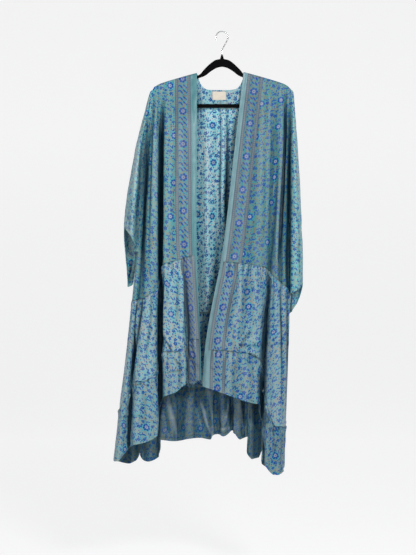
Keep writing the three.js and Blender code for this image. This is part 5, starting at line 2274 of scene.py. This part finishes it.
Colours = tuple[Four, ...]
PRINT_ORIGINS: dict[str, Point2] = {
    "front_left": (0.4, 0.1),
    "front_right": (1.3, 0.6),
    "back": (2.2, 0.2),
    "sleeve_left": (3.1, 0.5),
    "sleeve_right": (3.9, 0.9),
    "tier1_front_left": (4.7, 1.1),
    "tier1_back": (5.6, 1.1),
    "tier1_front_right": (6.5, 1.1),
    "tier2_front_left": (4.7, 1.8),
    "tier2_back": (5.6, 1.8),
    "tier2_front_right": (6.5, 1.8),
}
STITCHED = ("sleeve", "tier2")
# Ground and mottle of the one print for each panel, each a lighter or darker copy for how the light falls
# on it: painted light and painted shade, with the sleeves lighter and the right front darker than the left.
SLEEVE_PAINTED_LIGHT_COLOURS: Colours = (srgb(86, 192, 200), srgb(160, 156, 140))
PANEL_PAINTED_LIGHT_AND_SHADE_COLOURS: dict[str, Colours] = {
    "sleeve_left": SLEEVE_PAINTED_LIGHT_COLOURS,
    "sleeve_right": SLEEVE_PAINTED_LIGHT_COLOURS,
    "front_left": (srgb(66, 164, 172), srgb(136, 136, 118)),
    "front_right": (srgb(50, 144, 150), srgb(118, 118, 100)),
    "tier1_front_left": (srgb(94, 180, 192), srgb(168, 164, 154)),
    "tier1_front_right": (srgb(82, 164, 178), srgb(152, 148, 138)),
    "tier2_front_left": (srgb(84, 168, 182), srgb(154, 150, 138)),
    "tier2_front_right": (srgb(76, 154, 166), srgb(146, 142, 130)),
}
# Border colours per panel: partly the border's own print, partly painted light and shade, the right front's
# border being a darker copy of the left's.
BORDERS = {
    "front_left": Border(46.0, srgb(124, 126, 114), srgb(66, 148, 158), -1.0),
    "front_right": Border(87.0, srgb(112, 114, 102), srgb(58, 136, 146), 1.0),
    "tier1_front_left": Border(30.0, srgb(124, 124, 120), srgb(96, 132, 140), -1.0),
    "tier1_front_right": Border(30.0, srgb(134, 138, 134), srgb(84, 150, 164), 1.0),
    "tier2_front_left": Border(70.0, srgb(124, 124, 120), srgb(96, 132, 140), -1.0),
    "tier2_front_right": Border(70.0, srgb(134, 138, 134), srgb(84, 150, 164), 1.0),
}
OUTSIDE_BACK: Colours = (srgb(70, 166, 176), srgb(142, 140, 124))
# Colours of the back's inside where it shows: lighter copies of the back's colours on the back and the
# first tier, painted light, and a darker copy on the second tier, painted shade.
INSIDE_BACK_PAINTED_LIGHT_AND_SHADE: dict[str, Colours] = {
    "back": (srgb(112, 210, 222), srgb(200, 204, 204)),
    "tier1_back": (srgb(98, 180, 196), srgb(160, 160, 156), srgb(8, 66, 160), srgb(150, 150, 160)),
    "tier2_back": (srgb(50, 110, 122), srgb(96, 100, 88), srgb(8, 66, 132), srgb(106, 114, 116)),
}


def print_finishes() -> dict[str, tuple[PrintFinish, ...]]:
    """The flowered finish of each panel by its node, outside first, then the inside's copy with painted
    light and shade where that shows.
    """
    finishes = {}
    for node, origin in PRINT_ORIGINS.items():
        stitched = node.startswith(STITCHED)
        colours = PANEL_PAINTED_LIGHT_AND_SHADE_COLOURS.get(node, OUTSIDE_BACK)
        border = BORDERS.get(node)
        sides = [PrintFinish(f"print_{node}", origin, *colours, border=border, hem_stitch=stitched)]
        if node in INSIDE_BACK_PAINTED_LIGHT_AND_SHADE:
            inside = INSIDE_BACK_PAINTED_LIGHT_AND_SHADE[node]
            sides.append(PrintFinish(f"print_{node}_inside_painted_light_and_shade", origin, *inside, hem_stitch=stitched))
        finishes[node] = tuple(sides)
    return finishes


def main() -> None:
    """Builds the studio and dresses every piece, logging each sheet's cut as it is hung."""
    logging.basicConfig(level=logging.INFO, format="%(name)s: %(message)s")
    groups = Groups()
    Studio().build()
    hanger, hook = Hanger().build(), Hook().build()
    hanger.data.materials.append(VelvetFinish().build())
    hook.data.materials.append(WireFinish().build())
    dress(hanger, Slot.VELVET, "hanger")
    dress(hook, Slot.WIRE, "hanger_hook")
    tier1 = Tier(
        "tier1",
        -850.0,
        34,
        FineGathers(2.8, 9.0, 42.0, 3.0, seam_roll=3.2),
        (TIER1_LEFT_CREASES, TIER1_BACK_CREASES, TIER1_RIGHT_CREASES),
        hem_turn=0.0,
        laps=(0.36, 0.3),
    )
    tier2 = Tier(
        "tier2",
        -1150.0,
        26,
        FineGathers(2.6, 9.0, 34.0, 9.0, seam_roll=3.4),
        (TIER2_LEFT_CREASES, TIER2_BACK_CREASES, TIER2_RIGHT_CREASES),
        hem_turn=9.0,
        laps=(0.34, 0.0),
    )
    finishes = print_finishes()
    for maker in (UpperBody(), tier1, tier2, Sleeves()):
        for node, sheet in maker.sheets().items():
            materials = [finish.build(groups) for finish in finishes[node]]
            hang(sheet, materials, Slot.PRINT, node)
    # Both bands are one satin: the right band's lighter colours are painted light.
    bands = {
        "band_left": BandFinish("band_left_satin", srgb(86, 148, 154), srgb(54, 114, 124)),
        "band_right": BandFinish("band_right_satin", srgb(126, 164, 172), srgb(96, 138, 148)),
    }
    for node, sheet in Bands().sheets().items():
        hang(sheet, [bands[node].build(groups)], Slot.BAND, node)
    hang(Label().sheet(), [TapeFinish().build(groups)], Slot.LABEL, "label")


if __name__ == "__main__":
    main()
